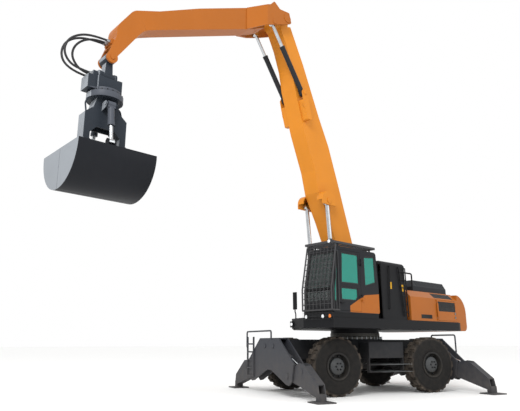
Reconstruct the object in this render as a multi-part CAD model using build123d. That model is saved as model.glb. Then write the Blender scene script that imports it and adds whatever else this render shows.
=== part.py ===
import os
from math import cos, hypot, pi, radians, sin, tan

from build123d import *

# Stance: angle of the upper structure on the undercarriage, as photographed
SLEW = 17.25

# Fits: gap at pins and seats, gap beside moving pieces, sheet and plate gauges
RUN = 0.3
SIDE = 8
SHEET = 12
PLATE = 25
HEAVY = 40
OVERLAP = 5

# Wheels and axles
AXLE_X = 1550
AXLE_Z = 745
WHEEL_Y = 1270
TYRE_FLATS = 24
TYRE_BORE = 319
TYRE_LIP = (350, 186)
TYRE_WALL = (430, 650, 215)
TYRE_SHOULDER = (700, 185)
TYRE_HOLLOW = (640, 160)
LUGS = 18
LUG_RADII = (705, 745)
LUG_ANGLES = (6.5, 5.5)
RIM_HALF = [(345, 208), (345, 191), (318.7, 189), (318.7, 0)]
RIM_WALL = 18
RIM_DISC = (30, 60)
HUB = [(0, 0), (205, 0), (205, 150), (150, 190), (110, 214), (0, 214)]
HUB_SLEEVE_R = 120
HUB_SLEEVE_Y = -150
SPINDLE_R = 70
SPINDLE_END = 95
KINGPIN_Y = 1000
KINGPIN_R = 35
KNUCKLE_R = 85
KNUCKLE_HALF = 70
FORK_R = 90
FORK_PLATE = 32
HOUSING = [(0, 0), (235, 0), (225, 130), (150, 260), (130, 600), (115, 850), (0, 850)]
AXLE_SEAT = (240, 430)
AXLE_SEAT_X = 150

# Chassis frame
FRAME_X = 2520
FRAME_Y = 450
FRAME_Z = (900, 1420)
TURRET_R = (900, 790)
TURRET_Z = (980, 1430)
TURRET_BORE = 640

# Slewing ring
RING = [(560, 1430), (750, 1430), (750, 1495), (715, 1505), (715, 1600), (560, 1600)]

# Hydraulic cylinders: neck against boss, collar at the gland, floor of the bore
CYL_NECK = 1.4
CYL_COLLAR = (6, 70)
CYL_BOTTOM = 12

# Outrigger boxes, legs and their cylinders: y and z outlines of the left front one
BOX_X = (2520, 2820)
BOX_OUTLINE = [(570, 1460), (1400, 830), (1290, 400), (1130, 290), (980, 310), (130, 630)]
BOX_ROUND = 45
BOX_TOP = (570, 1430, 1460)
BOX_WEB = (110, 150)
LEG_PIVOT = (1050, 520)
LEG_PIN_R = 45
LEG_X = (2570, 2770)
LEG_OUTLINE = [(940, 470), (960, 600), (1560, 850), (1790, 830), (2440, 400),
               (2500, 120), (2330, 120), (1430, 350), (1080, 395)]
LEG_ROUND = 40
LEG_FLOOR = [(1430, 350), (1430, 385), (2330, 160), (2330, 120)]
LEG_LID = [(1840, 797), (2440, 400), (2415, 370), (1815, 765)]
FOOT_Y = 2450
FOOT_PAD = (480, 480, 30)
FOOT_STEM = (2350, 2500)
FOOT_STEM_TOP = 200
LEG_ROD_PIN = (1700, 660)
LEG_CYL_PIN = (250, 1250)
LEG_CYL = dict(start=90, barrel=62, rod=38, boss=75, boss_w=170, pin=35, eye=72, eye_w=110,
               gland=850, rod_len=900)
PIN_HEAD = 18
PIN_COLLAR = 28
LEG_BOSS = 40
LEG_PIN_CAP = 10
RAIL_R = 22
BOX_RAIL_X = 2836
FRONT_RAIL = [(180, 1430), (180, 1650), (-1440, 1650), (-1440, 1240), (-1380, 1120)]
REAR_RAIL = [(80, 1430), (80, 1560), (1080, 1560), (1080, 1050)]
RAIL_BEND = 55
LADDER_Y = (-1400, -940)
LADDER_Z = (400, 1500)
LADDER_SIDE = 40
LADDER_RUNGS = 5
TRANSFER_BOX = (-260, 160, 200, 610, 1010)
SHAFT_R = 48

# Tool boxes and steps between the wheels
STEP_BOX_X = (-730, 430)
STEP_BOX_Y = (440, 1250)
STEP_BOX_Z = (930, 1350)
STEP_BAR_Z = (560, 745)
STEP_BAR_Y = (1120, 1240)
STEP_SIDE = 30

# Upper frame: deck, boom bracket and cylinder brackets
DECK_PLAN = [(2700, 1480), (2700, 480), (2430, -200), (1050, -1480), (-3440, -1480), (-3440, 1480)]
DECK_Z = (1700, 1960)
DECK_EDGE = 60
DECK_OPEN_X = (-3380, -820)
DECK_OPEN_Y = 1380
BEAM_Y = (310, 350)
BEAM_X = (-3350, 2150)
BEAM_TOP = 1990
RACE_R = (600, 700)
FOOT_PIN = (0, 2300)
FOOT_PIN_R = 70
BRACKET = [(-620, 1900), (-190, 2420), (0, 2520), (190, 2420), (620, 1900)]
BRACKET_ROUND = 70
CYL_FOOT = (1250, 2110)
CYL_EAR = [(1120, 1900), (1150, 2160), (1250, 2220), (1350, 2160), (1380, 1900)]
CYL_EAR_ROUND = 50
CYL_Y = 390
CYL_EAR_Y = (294, 312, 468, 486)
CAB_BASE = (840, 2750, 560, 1492)
FRONT_LAMP = (2380, 2490, -210, -80, 1730, 1890)
LAMP = (50, 18, 6, 3)
BASE_LAMPS = [(640, 1970), (1200, 1970), (1430, 1970)]

# Boom: x and z outline, foot to elbow
BOOM_Y = 270
BOOM_OUTLINE = [(-180, 2380), (290, 4270), (840, 5950), (1230, 7080), (1620, 7900), (2270, 9420),
                (2790, 10480), (3230, 10330), (2970, 9800), (2760, 9180), (2650, 8560), (2290, 7300),
                (2100, 6800), (1870, 6200), (1720, 5560), (1300, 4780), (1060, 4250), (190, 2280)]
BOOM_WALL = 28
BOOM_CORE_Z = (2950, 10050)
BOOM_FOOT_R = 210
ELBOW = (3130, 10520)
ELBOW_R = 230
ELBOW_PIN_R = 65
BOOM_EYE = (1530, 5300)
HOOD_R = (250, 285)
HOOD_EAR = [(1245, 5300), (1245, 5170), (1815, 5170), (1815, 5300)]
HOOD_EAR_Y = (460, 490)
BOOM_CYL = dict(start=160, barrel=92, rod=58, boss=100, boss_w=140, pin=50, eye=112, eye_w=120,
                gland=2040, rod_len=2050)
STICK_CYL_FOOT = (2430, 8400)
STICK_CYL_Y = 360
WING_EAR = [(2230, 7900), (2320, 8430), (2390, 8510), (2490, 8500), (2540, 8400), (2420, 7880)]
WING_EAR_Y = (442, 472)
WING_BLOCK = [(2150, 7620), (2280, 8200), (2500, 8200), (2330, 7600)]
WING_ROUND = 40
BOOM_PIPE_R = 20
BOOM_PIPE_Y = (-90, 0, 90)
BOOM_PIPE_BEND = 400
BOOM_PIPE_OUT = 75
BOOM_CLAMP = (35, 130, 105)
STICK_CYL = dict(start=110, barrel=72, rod=45, boss=88, boss_w=112, pin=42, eye=88, eye_w=108,
                 gland=1460, rod_len=1475)

# Stick: root fork, body and gooseneck
STICK_Y = 220
STICK_OUTLINE = [(3800, 10690), (4380, 10430), (6070, 9620), (7201, 9015), (7876, 8730), (8243, 8175),
                 (8243, 7930), (8435, 7345), (8190, 7345), (8190, 7435), (7591, 8331), (7174, 8524),
                 (6050, 9020), (4370, 9760), (3920, 9990), (3800, 10060)]
STICK_BENDS = [0, 0, 0, 0, 350, 350, 0, 0, 0, 0, 500, 0, 0, 0, 0, 0]
STICK_WALL = 40
STICK_NECK = (6, 7, 8, 9)
STICK_PORT = (8200, 8345, 150, 7730, 7850)
FORK_OUTLINE = [(2960, 10420), (3040, 10740), (3420, 10700), (3640, 10860), (3790, 10690), (4500, 10370),
                (4500, 9700), (3920, 9990), (3720, 10070), (3330, 10240)]
FORK_PLAN = [(2940, 440), (2940, 480), (3910, 480), (4480, 246), (4480, 180), (4420, 205), (3900, 440)]
FORK_ROUND = 45
STICK_EYE = (3640, 10200)
STICK_TIP = (8310, 7370)
TIP_PIN_R = 50
TIP_BOSS_R = 130
TIP_SLOT = (350, 168, 280)

# Grab: link, head, frame, shells and cylinders, hung plumb under the stick's tip
GRAB_X = 8310
LINK_Y = 150
LINK_R = 130
LINK_WAIST = [(-70, 7370), (70, 7370), (95, 6960), (-95, 6960)]
LINK_CROSS = 150
CROSS_Z = 6960
CROSS_R = 100
CROSS_PIN_R = 45
HEAD_EAR_X = (158, 205)
HEAD_EAR_WALL = 10
HEAD_DIP = 12
HEAD_BLOCK = (270, 230, 6500, 6850)
HEAD_FLANGE = (340, 6500, 6580)
HEAD_MOTOR = (255, 480, 170, 6540, 6840)
HEAD_PORT = (265, 370, 150, 6835, 6960)
ROTOR_SPIGOT = (100, 6640)
ROTOR_RING = (390, 6360, 6492)
FRAME_OUTLINE = [(-230, 6370), (230, 6370), (300, 6130), (475, 5980), (475, 5230), (335, 5230),
                 (335, 5560), (200, 5700), (-200, 5700), (-335, 5560), (-335, 5230), (-475, 5230),
                 (-475, 5980), (-300, 6130)]
FRAME_CORE = [(-170, 6330), (170, 6330), (255, 6110), (430, 5950), (430, 5420), (385, 5420), (385, 5585),
              (215, 5755), (215, 5690), (-215, 5690), (-215, 5755), (-385, 5585), (-385, 5420),
              (-430, 5420), (-430, 5950), (-255, 6110)]
FRAME_THICK = 150
FRAME_WALL = 30
FRAME_LEG = (185, 5210, 5400)
SHELL_PIN = (110, 5300)
SHELL_PIN_R = 45
SHELL_PIN_X = (335, 535)
SHELL_X = 850
SHELL_R = 860
SHELL_CENTRE = (4, 5110)
SHELL_GAUGE = 28
SHELL_RIB_X = (487, 523)
SHELL_RIB = [(5, 4990), (5, 5260), (50, 5365), (110, 5390), (175, 5365), (215, 5290), (565, 5125),
             (565, 4980)]
SHELL_BEAM = (400, 500, 5020, 5120)
SHELL_EAR = [(390, 5050), (385, 5350), (450, 5405), (515, 5350), (520, 5050)]
SHELL_EAR_X = (66, 92)
SHELL_EAR_ROUND = 30
SHELL_EYE = (450, 5330)
GRAB_CYL_TOP = (330, 6200)
GRAB_EAR = [(130, 6080), (130, 6270), (320, 6275), (395, 6200), (340, 6125)]
GRAB_EAR_X = (88, 116)
GRAB_EAR_ROUND = 20
GRAB_PIPE = [(330, 90, 6380), (430, 100, 6300), (470, 110, 6180), (440, 110, 5990)]
GRAB_PIPE_BEND = 60
GRAB_PIPE_R = 18
GRAB_CYL = dict(start=90, barrel=70, rod=42, boss=70, boss_w=160, pin=36, eye=62, eye_w=116,
                gland=500, rod_len=496)

# Cab, its door, glass and guards
CAB_Y = (545, 1500)
CAB_OUTLINE = [(800, 2062), (2720, 2062), (2720, 2640), (2500, 3720), (860, 3720), (800, 2760)]
CAB_ROUND = 90
CAB_WALL = 50
GLASS_INSET = (18, 26)
GLASS_GAP = 0.4
PANE_DEEP = 120
DOOR_HOLE = [(1570, 2110), (2470, 2110), (2470, 2640), (2410, 3650), (1570, 3650)]
DOOR_GAP = 6
DOOR_PANES = [[(1640, 2800), (2360, 2800), (2325, 3590), (1640, 3590)],
              [(1790, 2370), (2375, 2370), (2375, 2700), (1700, 2700), (1700, 2460)]]
LEFT_PANES = [[(905, 2890), (1390, 2765), (1400, 3560), (935, 3600)],
              [(2525, 2330), (2650, 2330), (2645, 2640), (2490, 3560), (2465, 3560)]]
RIGHT_PANE = [(930, 2600), (2620, 2600), (2430, 3590), (960, 3590)]
FRONT_PANE = (620, 1425, 2330, 3600)
REAR_PANE = (640, 1405, 2850, 3560)
HINGE_AT = (1550, 1525)
HINGE_Z = (2400, 3330)
HINGE_LEN = 110
HINGE_R = 10
HINGE_KNUCKLE = 22
HINGE_TAB = 24
HINGE_STRAP = (40, 90)
GUARD_R = 20
GUARD_BAR_R = 9
GUARD_FOOT_R = 16
GUARD_Y = (545, 1530)
GUARD_LINE = [(2790, 2120), (2790, 2655), (2565, 3760)]
GUARD_BEND = 60
GUARD_SEATS = (1, 10)
GUARD_BARS = 8
GUARD_RUNGS = 11
RETURN_X = (2710, 2605, 2500)
RETURN_TOP = 3600
RETURN_SEAT_Z = (2330, 3450)
ROOF_X = (870, 2650)
ROOF_Y = (545, 1500)
ROOF_Z = (3800, 3860)
ROOF_EDGE = 60
ROOF_BARS = 8
ROOF_BAR = 8
ROOF_POST_X = (1000, 2350)
ROOF_POST_Y = (640, 1400)
ROOF_POST_R = 25
CAB_LAMP = (2640, 2700, 1375, 1495, 3770, 3890)

# Operator's seat and consoles
SEAT_X = 1350
SEAT_Y = 1020
FLOOR_Z = 2112
SEAT_BASE = (150, 300)
SEAT_CUSHION = (270, 250, 295, 430)
SEAT_BACK = [(-280, 400), (-400, 1150), (-290, 1150), (-150, 400)]
SEAT_BACK_Y = 240
ARM_CONSOLE = (-250, 350, 330, 70, 620)
LEVER = (270, 290, 780, 22)
FRONT_CONSOLE = [(880, 0), (880, 120), (960, 800), (1020, 800), (1060, 0)]
FRONT_CONSOLE_Y = 90

# Tanks, engine bay, hood and counterweight
TANK_LEFT = (-650, 640, 640, 1450, 1960, 3560)
TANK_RIGHT = (-600, 350, -1450, -640, 1960, 2760)
TANK_ROUND = 110
TANK_CAP = (200, 1050, 90, 50)
STEP_RIGHT = (380, 690, -1400, -700, 1960, 2330)
BAY_X = (-3440, -760)
BAY_SECTION = [(-1480, 1960), (-1480, 2640), (-1270, 2840), (1270, 2840), (1480, 2640), (1480, 1960)]
BAY_TOP_HOLE = (-3250, -1550, 1000)
DOOR_X = (-3330, -2190)
DOOR_Z = (1990, 2610)
DOOR_HINGE_X = 14
DOOR_HINGE_Y = 1510
DOOR_STRAP = (74, 24, 100)
DOOR_GRILLE = (-3270, -2270, 2285, 2550, 9)
BAY_GRILLE = (-3200, -2110, 6)
HOOD_LOUVRES = (-3300, -1700, 16)
GROOVE = (7, 18)
LOUVRE_SHARE = 0.12
ENGINE = (-2750, -1550, 360, 1990, 2760)
HOOD_X = (-3390, -1400)
HOOD_SECTION = [(-1150, 2843), (-1150, 3010), (-1040, 3205), (1040, 3205), (1150, 3010), (1150, 2843)]
HOOD_NOSE = [(-3400, 2820), (-3400, 3230), (-1620, 3230), (-1390, 2980), (-1390, 2820)]
HOOD_GAUGE = 14
HOOD_HINGE = (-3413, 2880)
HOOD_HINGE_Y = (300, 340, 380)
HOOD_POST = 16
TAIL_R = 4225
TAIL_Z = (1696, 2822)
TAIL_ROUND = (160, 560)

# Rails, ladders, mirror and lamps on the upper structure
DECK_RAIL = [(-830, 1200, 2840.3), (-830, 1200, 3360), (-1340, 1200, 3360), (-1340, 1200, 2840.3)]
TANK_STILES = [((203, 3420), (275, 2240)), ((-239, 3420), (-436, 2069)), ((-560, 3420), (-620, 2069))]
STILE_R = 16
STILE_OUT = 30
STILE_RUNGS = 6
MIRROR_ARM = [(2420, -60, 1960.3), (2420, -60, 2080), (2445, -60, 2140), (2445, -60, 2210)]
MIRROR_BEND = 25
MIRROR = (2425, 2462, -120, 0, 2200, 2660)

# Hose loops from the stick's tip to the grab's head, as routes in x, y and z
HOSE_R = 24
HOSE_BEND = 0.45
HOSE_ROUTES = [
    [(8345.4, 100, 7790), (8640, 100, 7790), (9000, 130, 7690), (9280, 160, 7450),
     (9360, 165, 7150), (9210, 140, 6930), (8930, 100, 6890), (8680.4, 100, 6890)],
    [(8345.4, 0, 7780), (8590, 0, 7780), (8880, 15, 7660), (9080, 20, 7440),
     (9130, 15, 7190), (9010, 5, 7000), (8830, 0, 6910), (8680.4, 0, 6910)],
    [(8345.4, -100, 7800), (8620, -100, 7800), (8960, -130, 7745), (9210, -150, 7560),
     (9300, -150, 7280), (9220, -140, 7030), (8930, -100, 6890), (8680.4, -100, 6890)],
]

WAYS = {"X": (1, 0, 0), "Y": (0, 1, 0), "Z": (0, 0, 1)}
UPWARD = (Align.CENTER, Align.CENTER, Align.MIN)


def block(x0, x1, y0, y1, z0, z1):
    """A box between two corners."""
    centre = ((x0 + x1) / 2, (y0 + y1) / 2, (z0 + z1) / 2)
    return Pos(*centre) * Box(abs(x1 - x0), abs(y1 - y0), abs(z1 - z0))


def bar(start, end, radius):
    """A round bar between two points."""
    run = Vector(end) - Vector(start)
    return Plane(origin=start, z_dir=run) * Cylinder(radius, run.length, align=UPWARD)


def slab(points, axis, low, high, rounding=0):
    """A plate or block with its outline in the plane across an axis."""
    at = {"X": lambda a, b: (low, a, b), "Y": lambda a, b: (a, low, b), "Z": lambda a, b: (a, b, low)}[axis]
    corners = [at(*point) for point in points]
    if rounding:
        edge = FilletPolyline(*corners, radius=rounding, close=True)
    else:
        edge = Polyline(*corners, close=True)
    return extrude(Face(edge), amount=high - low, dir=WAYS[axis])


def turned(points, axis):
    """A round piece from its half section, radius first."""
    if axis == "Z":
        section = Face(Polyline(*[(r, 0, h) for r, h in points], close=True))
        return revolve(section, axis=Axis.Z)
    section = Face(Polyline(*[(r, h, 0) for r, h in points], close=True))
    return revolve(section, axis=Axis.Y)


def pipe(points, bend, radius):
    """A bent tube along a route."""
    path = FilletPolyline(*points, radius=bend)
    start = Plane(origin=path @ 0, z_dir=path % 0)
    return sweep(start * Circle(radius), path=path)


def pair(shape):
    """A piece and its mirror across the middle plane."""
    return shape + mirror(shape, about=Plane.XZ)


def across(shape):
    """The right-hand one of a left-hand piece."""
    return mirror(shape, about=Plane.XZ)


def behind(shape):
    """The rear one of a front piece."""
    return mirror(shape, about=Plane.YZ)


def inset(points, axis, amount, low, high, rounding=0):
    """A block along an axis whose outline is drawn in all round."""
    way = Vector(WAYS[axis])
    whole = slab(points, axis, low, high, rounding)
    side = whole.faces().sort_by(Axis((0, 0, 0), way))[0]
    drawn = offset(side, amount=-amount, kind=Kind.INTERSECTION)
    return extrude(drawn, amount=high - low, dir=way)


def cylinder_pair(foot, eye, pin_axis, size):
    """A hydraulic cylinder between two pins: its barrel and its rod."""
    run = Vector(eye) - Vector(foot)
    place = Plane(origin=foot, x_dir=pin_axis, z_dir=run)
    start, gland, boss = size["start"], size["gland"], size["boss"]
    barrel = Pos(0, 0, start) * Cylinder(size["barrel"], gland - start, align=UPWARD)
    barrel += Box(size["boss_w"], boss * CYL_NECK, start + OVERLAP, align=UPWARD)
    proud, wide = CYL_COLLAR
    barrel += Pos(0, 0, gland - wide) * Cylinder(size["barrel"] + proud, wide, align=UPWARD)
    barrel += Rot(Y=90) * Cylinder(boss, size["boss_w"])
    barrel -= Pos(0, 0, boss + CYL_BOTTOM) * Cylinder(size["rod"] + RUN, gland, align=UPWARD)
    barrel -= Rot(Y=90) * Cylinder(size["pin"] + RUN, size["boss_w"] * 2)
    rod = Pos(0, 0, run.length - size["rod_len"]) * Cylinder(size["rod"], size["rod_len"], align=UPWARD)
    rod += Pos(0, 0, run.length) * (Rot(Y=90) * Cylinder(size["eye"], size["eye_w"]))
    return place * barrel, place * rod


def flat_face(*corners):
    return Face(Polyline(*corners, close=True))


def ring_corners(radius, y):
    """The corners of a many-sided ring across the wheel's axle."""
    step = 2 * pi / TYRE_FLATS
    return [(radius * cos(k * step), y, radius * sin(k * step)) for k in range(TYRE_FLATS)]


def drum(inner, outer):
    """A many-sided drum or cone between two radii and places along the axle."""
    low, high = ring_corners(*inner), ring_corners(*outer)
    walls = [flat_face(low[k - 1], low[k], high[k], high[k - 1]) for k in range(TYRE_FLATS)]
    return Solid(Shell([flat_face(*low), flat_face(*high), *walls]))


def lug_disc(low, high, phase):
    """One half of the tread, with its lugs standing out of it."""
    corners = []
    for k in range(LUGS):
        middle = 360 * (k + phase) / LUGS
        for side, places in ((-1, (0, 1)), (1, (1, 0))):
            for place in places:
                angle = radians(middle + side * LUG_ANGLES[place])
                corners.append((LUG_RADII[place] * cos(angle), LUG_RADII[place] * sin(angle)))
    return slab(corners, "Y", low, high)


def tyre():
    shoulder, edge = TYRE_SHOULDER
    low, high, side = TYRE_WALL
    bore = TYRE_BORE / cos(pi / TYRE_FLATS)
    hollow, half = TYRE_HOLLOW
    wheel = lug_disc(0, edge, 0) + lug_disc(-edge, 0, 0.5)
    for way in (1, -1):
        wheel += drum((shoulder, way * edge), (high, way * side))
    for way in (1, -1):
        wheel -= drum((TYRE_LIP[0], way * TYRE_LIP[1]), (low, way * side))
    wheel -= drum((bore, -side), (bore, side))
    return wheel - drum((hollow, -half), (hollow, half))


def rim():
    edge = RIM_HALF[:3]
    outer = edge + [(r, -y) for r, y in reversed(edge)]
    well = RIM_HALF[3][0] - RIM_WALL
    inner = [(well, -RIM_HALF[0][1]), (well, RIM_HALF[0][1])]
    wheel = turned(outer + inner, "Y") + turned(HUB, "Y")
    wheel += bar((0, RIM_DISC[0], 0), (0, RIM_DISC[1], 0), well + 1)
    wheel += bar((0, HUB_SLEEVE_Y, 0), (0, 1, 0), HUB_SLEEVE_R)
    return wheel - bar((0, HUB_SLEEVE_Y - 1, 0), (0, SPINDLE_END + SIDE, 0), SPINDLE_R + RUN)


def axle_housing(x):
    half = turned(HOUSING, "Y")
    beam = Pos(x, 0, AXLE_Z) * (half + across(half))
    seat = block(x - AXLE_SEAT_X, x + AXLE_SEAT_X, *AXLE_SEAT, AXLE_Z, FRAME_Z[0])
    return beam + pair(seat) + drive_shaft(x, 1 if x > 0 else -1)


def front_axle():
    beam = axle_housing(AXLE_X)
    end = HOUSING[-1][1]
    top = KNUCKLE_HALF + SIDE
    reach = top + FORK_PLATE
    x0, x1 = AXLE_X - FORK_R, AXLE_X + FORK_R
    half = block(x0, x1, end - FORK_R, KINGPIN_Y - KNUCKLE_R - SIDE, AXLE_Z - reach, AXLE_Z + reach)
    for low in (AXLE_Z + top, AXLE_Z - reach):
        half += block(x0, x1, end, KINGPIN_Y, low, low + FORK_PLATE)
        half += bar((AXLE_X, KINGPIN_Y, low), (AXLE_X, KINGPIN_Y, low + FORK_PLATE), FORK_R)
    half += bar((AXLE_X, KINGPIN_Y, AXLE_Z - reach), (AXLE_X, KINGPIN_Y, AXLE_Z + reach), KINGPIN_R)
    return beam + pair(half)


def rear_axle():
    end = HOUSING[-1][1]
    x, z = -AXLE_X, AXLE_Z
    sleeve = bar((x, end - OVERLAP, z), (x, WHEEL_Y + HUB_SLEEVE_Y - SIDE, z), HOUSING[-2][0])
    spindle = bar((x, end, z), (x, WHEEL_Y + SPINDLE_END, z), SPINDLE_R)
    return axle_housing(x) + pair(sleeve + spindle)


def knuckle():
    x, y, z = AXLE_X, KINGPIN_Y, AXLE_Z
    body = bar((x, y, z - KNUCKLE_HALF), (x, y, z + KNUCKLE_HALF), KNUCKLE_R)
    body += bar((x, y, z), (x, WHEEL_Y + HUB_SLEEVE_Y - SIDE, z), KNUCKLE_R - SIDE)
    body += bar((x, y, z), (x, WHEEL_Y + SPINDLE_END, z), SPINDLE_R)
    return body - bar((x, y, z - KNUCKLE_R), (x, y, z + KNUCKLE_R), KINGPIN_R + RUN)


def chassis_frame():
    turret = Pos(0, 0, TURRET_Z[0]) * Cone(*TURRET_R, TURRET_Z[1] - TURRET_Z[0], align=UPWARD)
    frame = block(-FRAME_X, FRAME_X, -FRAME_Y, FRAME_Y, *FRAME_Z) + turret
    frame -= block(-FRAME_X + PLATE, FRAME_X - PLATE, -FRAME_Y + PLATE, FRAME_Y - PLATE,
                   FRAME_Z[0] - 1, FRAME_Z[1] - PLATE)
    frame -= bar((0, 0, FRAME_Z[0]), (0, 0, FRAME_Z[1] - PLATE), TURRET_BORE)
    x0, x1, y, z0, z1 = TRANSFER_BOX
    reach = TURRET_BORE + PLATE
    return frame + block(x0, x1, -y, y, z0, z1) + block(x0, x1, -reach, reach, z1 - PLATE, z1)


def drive_shaft(x, sign):
    """A shaft from the transfer box to an axle's housing."""
    face = TRANSFER_BOX[1] if sign > 0 else TRANSFER_BOX[0]
    return bar((face + sign * RUN, 0, AXLE_Z), (x - sign * HOUSING[2][0], 0, AXLE_Z), SHAFT_R)


def outrigger_box():
    outline = BOX_OUTLINE + [(-y, z) for y, z in reversed(BOX_OUTLINE)]
    box = slab(outline, "X", BOX_X[0], BOX_X[0] + HEAVY, BOX_ROUND)
    box += slab(outline, "X", BOX_X[1] - HEAVY, BOX_X[1], BOX_ROUND)
    y, low, high = BOX_TOP
    box += block(*BOX_X, -y, y, low, high)
    box += pair(block(*BOX_X, *BOX_WEB, BOX_OUTLINE[-1][1] + OVERLAP, low + OVERLAP))
    ends = (BOX_X[0] - PIN_HEAD, BOX_X[1] + PIN_HEAD)
    for (py, pz), radius in ((LEG_PIVOT, LEG_PIN_R), (LEG_CYL_PIN, LEG_CYL["pin"])):
        box += pair(bar((BOX_X[0], py, pz), (BOX_X[1], py, pz), radius))
        box += pair(bar((BOX_X[1] - 1, py, pz), (ends[1], py, pz), radius + PIN_COLLAR))
    return box + pair(bar((ends[0], *LEG_PIVOT), (BOX_X[0] + 1, *LEG_PIVOT), LEG_PIN_R + PIN_COLLAR))


def box_rail(points):
    """A tube rail on the outer face of an outrigger box."""
    return pipe([(BOX_RAIL_X, y, z) for y, z in points], RAIL_BEND, RAIL_R)


def front_ladder():
    y0, y1 = LADDER_Y
    near, far = BOX_X[1] - 1, BOX_X[1] + LADDER_SIDE
    ladder = block(near, far, y0, y0 + LADDER_SIDE, *LADDER_Z)
    ladder += block(near, far, y1 - LADDER_SIDE, y1, *LADDER_Z)
    step = (LADDER_Z[1] - LADDER_Z[0]) / LADDER_RUNGS
    for k in range(LADDER_RUNGS):
        z = LADDER_Z[0] + k * step
        ladder += block(near, far, y0 + 1, y1 - 1, z, z + LADDER_SIDE)
    return ladder


def outrigger_boxes():
    box = outrigger_box()
    front = box + front_ladder() + box_rail(FRONT_RAIL)
    return front + behind(box + box_rail(REAR_RAIL))


def outrigger_leg():
    whole = slab(LEG_OUTLINE, "X", LEG_X[0], LEG_X[0] + PLATE, LEG_ROUND)
    leg = whole + Pos(LEG_X[1] - LEG_X[0] - PLATE, 0, 0) * whole
    leg += slab(LEG_FLOOR, "X", *LEG_X) + slab(LEG_LID, "X", *LEG_X)
    leg += bar((LEG_X[0], *LEG_PIVOT), (LEG_X[1], *LEG_PIVOT), LEG_PIN_R + LEG_BOSS)
    length, width, thick = FOOT_PAD
    middle = sum(BOX_X) / 2
    leg += block(*LEG_X, *FOOT_STEM, thick - OVERLAP, FOOT_STEM_TOP)
    leg += block(middle - length / 2, middle + length / 2, FOOT_Y - width / 2, FOOT_Y + width / 2, 0, thick)
    for x0, x1 in ((LEG_X[0] - LEG_PIN_CAP, LEG_X[0] + 1), (LEG_X[1] - 1, LEG_X[1] + LEG_PIN_CAP)):
        leg += bar((x0, *LEG_ROD_PIN), (x1, *LEG_ROD_PIN), LEG_CYL["pin"] + PIN_COLLAR)
    return leg - bar((BOX_X[0], *LEG_PIVOT), (BOX_X[1], *LEG_PIVOT), LEG_PIN_R + RUN)


def outrigger_cylinder():
    middle = sum(BOX_X) / 2
    return cylinder_pair((middle, *LEG_CYL_PIN), (middle, *LEG_ROD_PIN), (1, 0, 0), LEG_CYL)


def side_steps():
    x0, x1 = STEP_BOX_X
    y0, y1 = STEP_BOX_Y
    z0, z1 = STEP_BOX_Z
    box = block(x0, x1, y0, y1, z0, z1)
    box -= block(x0 + PLATE, x1 - PLATE, y0 + PLATE, y1 - PLATE, z0 - 1, z1 - PLATE)
    box -= bar((0, 0, z0 - 1), (0, 0, z1 + 1), TURRET_R[0] + RUN)
    for z in STEP_BAR_Z:
        box += block(x0, x1, *STEP_BAR_Y, z, z + STEP_SIDE)
    for x in (x0, x1 - STEP_SIDE):
        box += block(x, x + STEP_SIDE, *STEP_BAR_Y, STEP_BAR_Z[0], z0 + OVERLAP)
    return pair(box)


def deck():
    """The deck plate with its engine opening and closed hollows."""
    plate = slab(DECK_PLAN, "Z", *DECK_Z)
    x0, x1 = DECK_OPEN_X
    plate -= block(x0, x1, -DECK_OPEN_Y, DECK_OPEN_Y, DECK_Z[0] + PLATE, DECK_Z[1] + 1)
    hollow = inset(DECK_PLAN, "Z", DECK_EDGE, DECK_Z[0] + PLATE, DECK_Z[1] - PLATE)
    front, side = DECK_PLAN[0]
    return plate - (hollow & block(x1 + DECK_EDGE, front, -side, side, *DECK_Z))


def lamp(x, y, z):
    """A round lamp that stands out of a front face."""
    radius, proud, rim_wide, rim_deep = LAMP
    front = x + proud
    body = bar((x - 1, y, z), (front, y, z), radius)
    return body - bar((front - rim_deep, y, z), (front + 1, y, z), radius - rim_wide)


def upper_frame():
    low = DECK_Z[0] + OVERLAP
    beam = block(*BEAM_X, *BEAM_Y, low, BEAM_TOP)
    cheek = slab(BRACKET, "Y", *BEAM_Y, BRACKET_ROUND)
    ears = slab(CYL_EAR, "Y", *CYL_EAR_Y[:2], CYL_EAR_ROUND)
    ears += slab(CYL_EAR, "Y", *CYL_EAR_Y[2:], CYL_EAR_ROUND)
    x, z = CYL_FOOT
    pin = bar((x, CYL_EAR_Y[0], z), (x, CYL_EAR_Y[3] + PIN_HEAD, z), BOOM_CYL["pin"])
    frame = deck() + pair(beam + cheek + ears + pin)
    reach = BEAM_Y[1] + PIN_HEAD
    frame += bar((FOOT_PIN[0], -reach, FOOT_PIN[1]), (FOOT_PIN[0], reach, FOOT_PIN[1]), FOOT_PIN_R)
    frame += bar((0, 0, RING[-1][1] + RUN), (0, 0, DECK_Z[0] + OVERLAP), RACE_R[1])
    frame -= bar((0, 0, RING[-1][1] - 1), (0, 0, DECK_Z[0] + PLATE), RACE_R[0])
    frame += block(*CAB_BASE, DECK_Z[1] - OVERLAP, CAB_OUTLINE[0][1] - RUN)
    for y, z in BASE_LAMPS:
        frame += lamp(CAB_BASE[1], y, z)
    x0, x1, y0, y1, z0, z1 = FRONT_LAMP
    return frame + block(*FRONT_LAMP) + lamp(x1, (y0 + y1) / 2, (z0 + z1) / 2)


def counterweight():
    low, high = TAIL_Z
    corners = [(0, 0, low), (TAIL_R, 0, low), (TAIL_R, 0, high), (0, 0, high)]
    outline = FilletPolyline(*corners, radius=[0, *TAIL_ROUND, 0], close=True)
    x, side = DECK_PLAN[-1]
    return revolve(Face(outline), axis=Axis.Z) & block(-TAIL_R, x - RUN, -side, side, low, high)


def bay_shell():
    x0, x1 = BAY_X[0] + SHEET, BAY_X[1] - SHEET
    half, low = BAY_SECTION[-1]
    shell = slab(BAY_SECTION, "X", *BAY_X) - inset(BAY_SECTION, "X", SHEET, x0, x1)
    return shell - block(x0, x1, SHEET - half, half - SHEET, low - 1, low + SHEET + 1)


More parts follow.
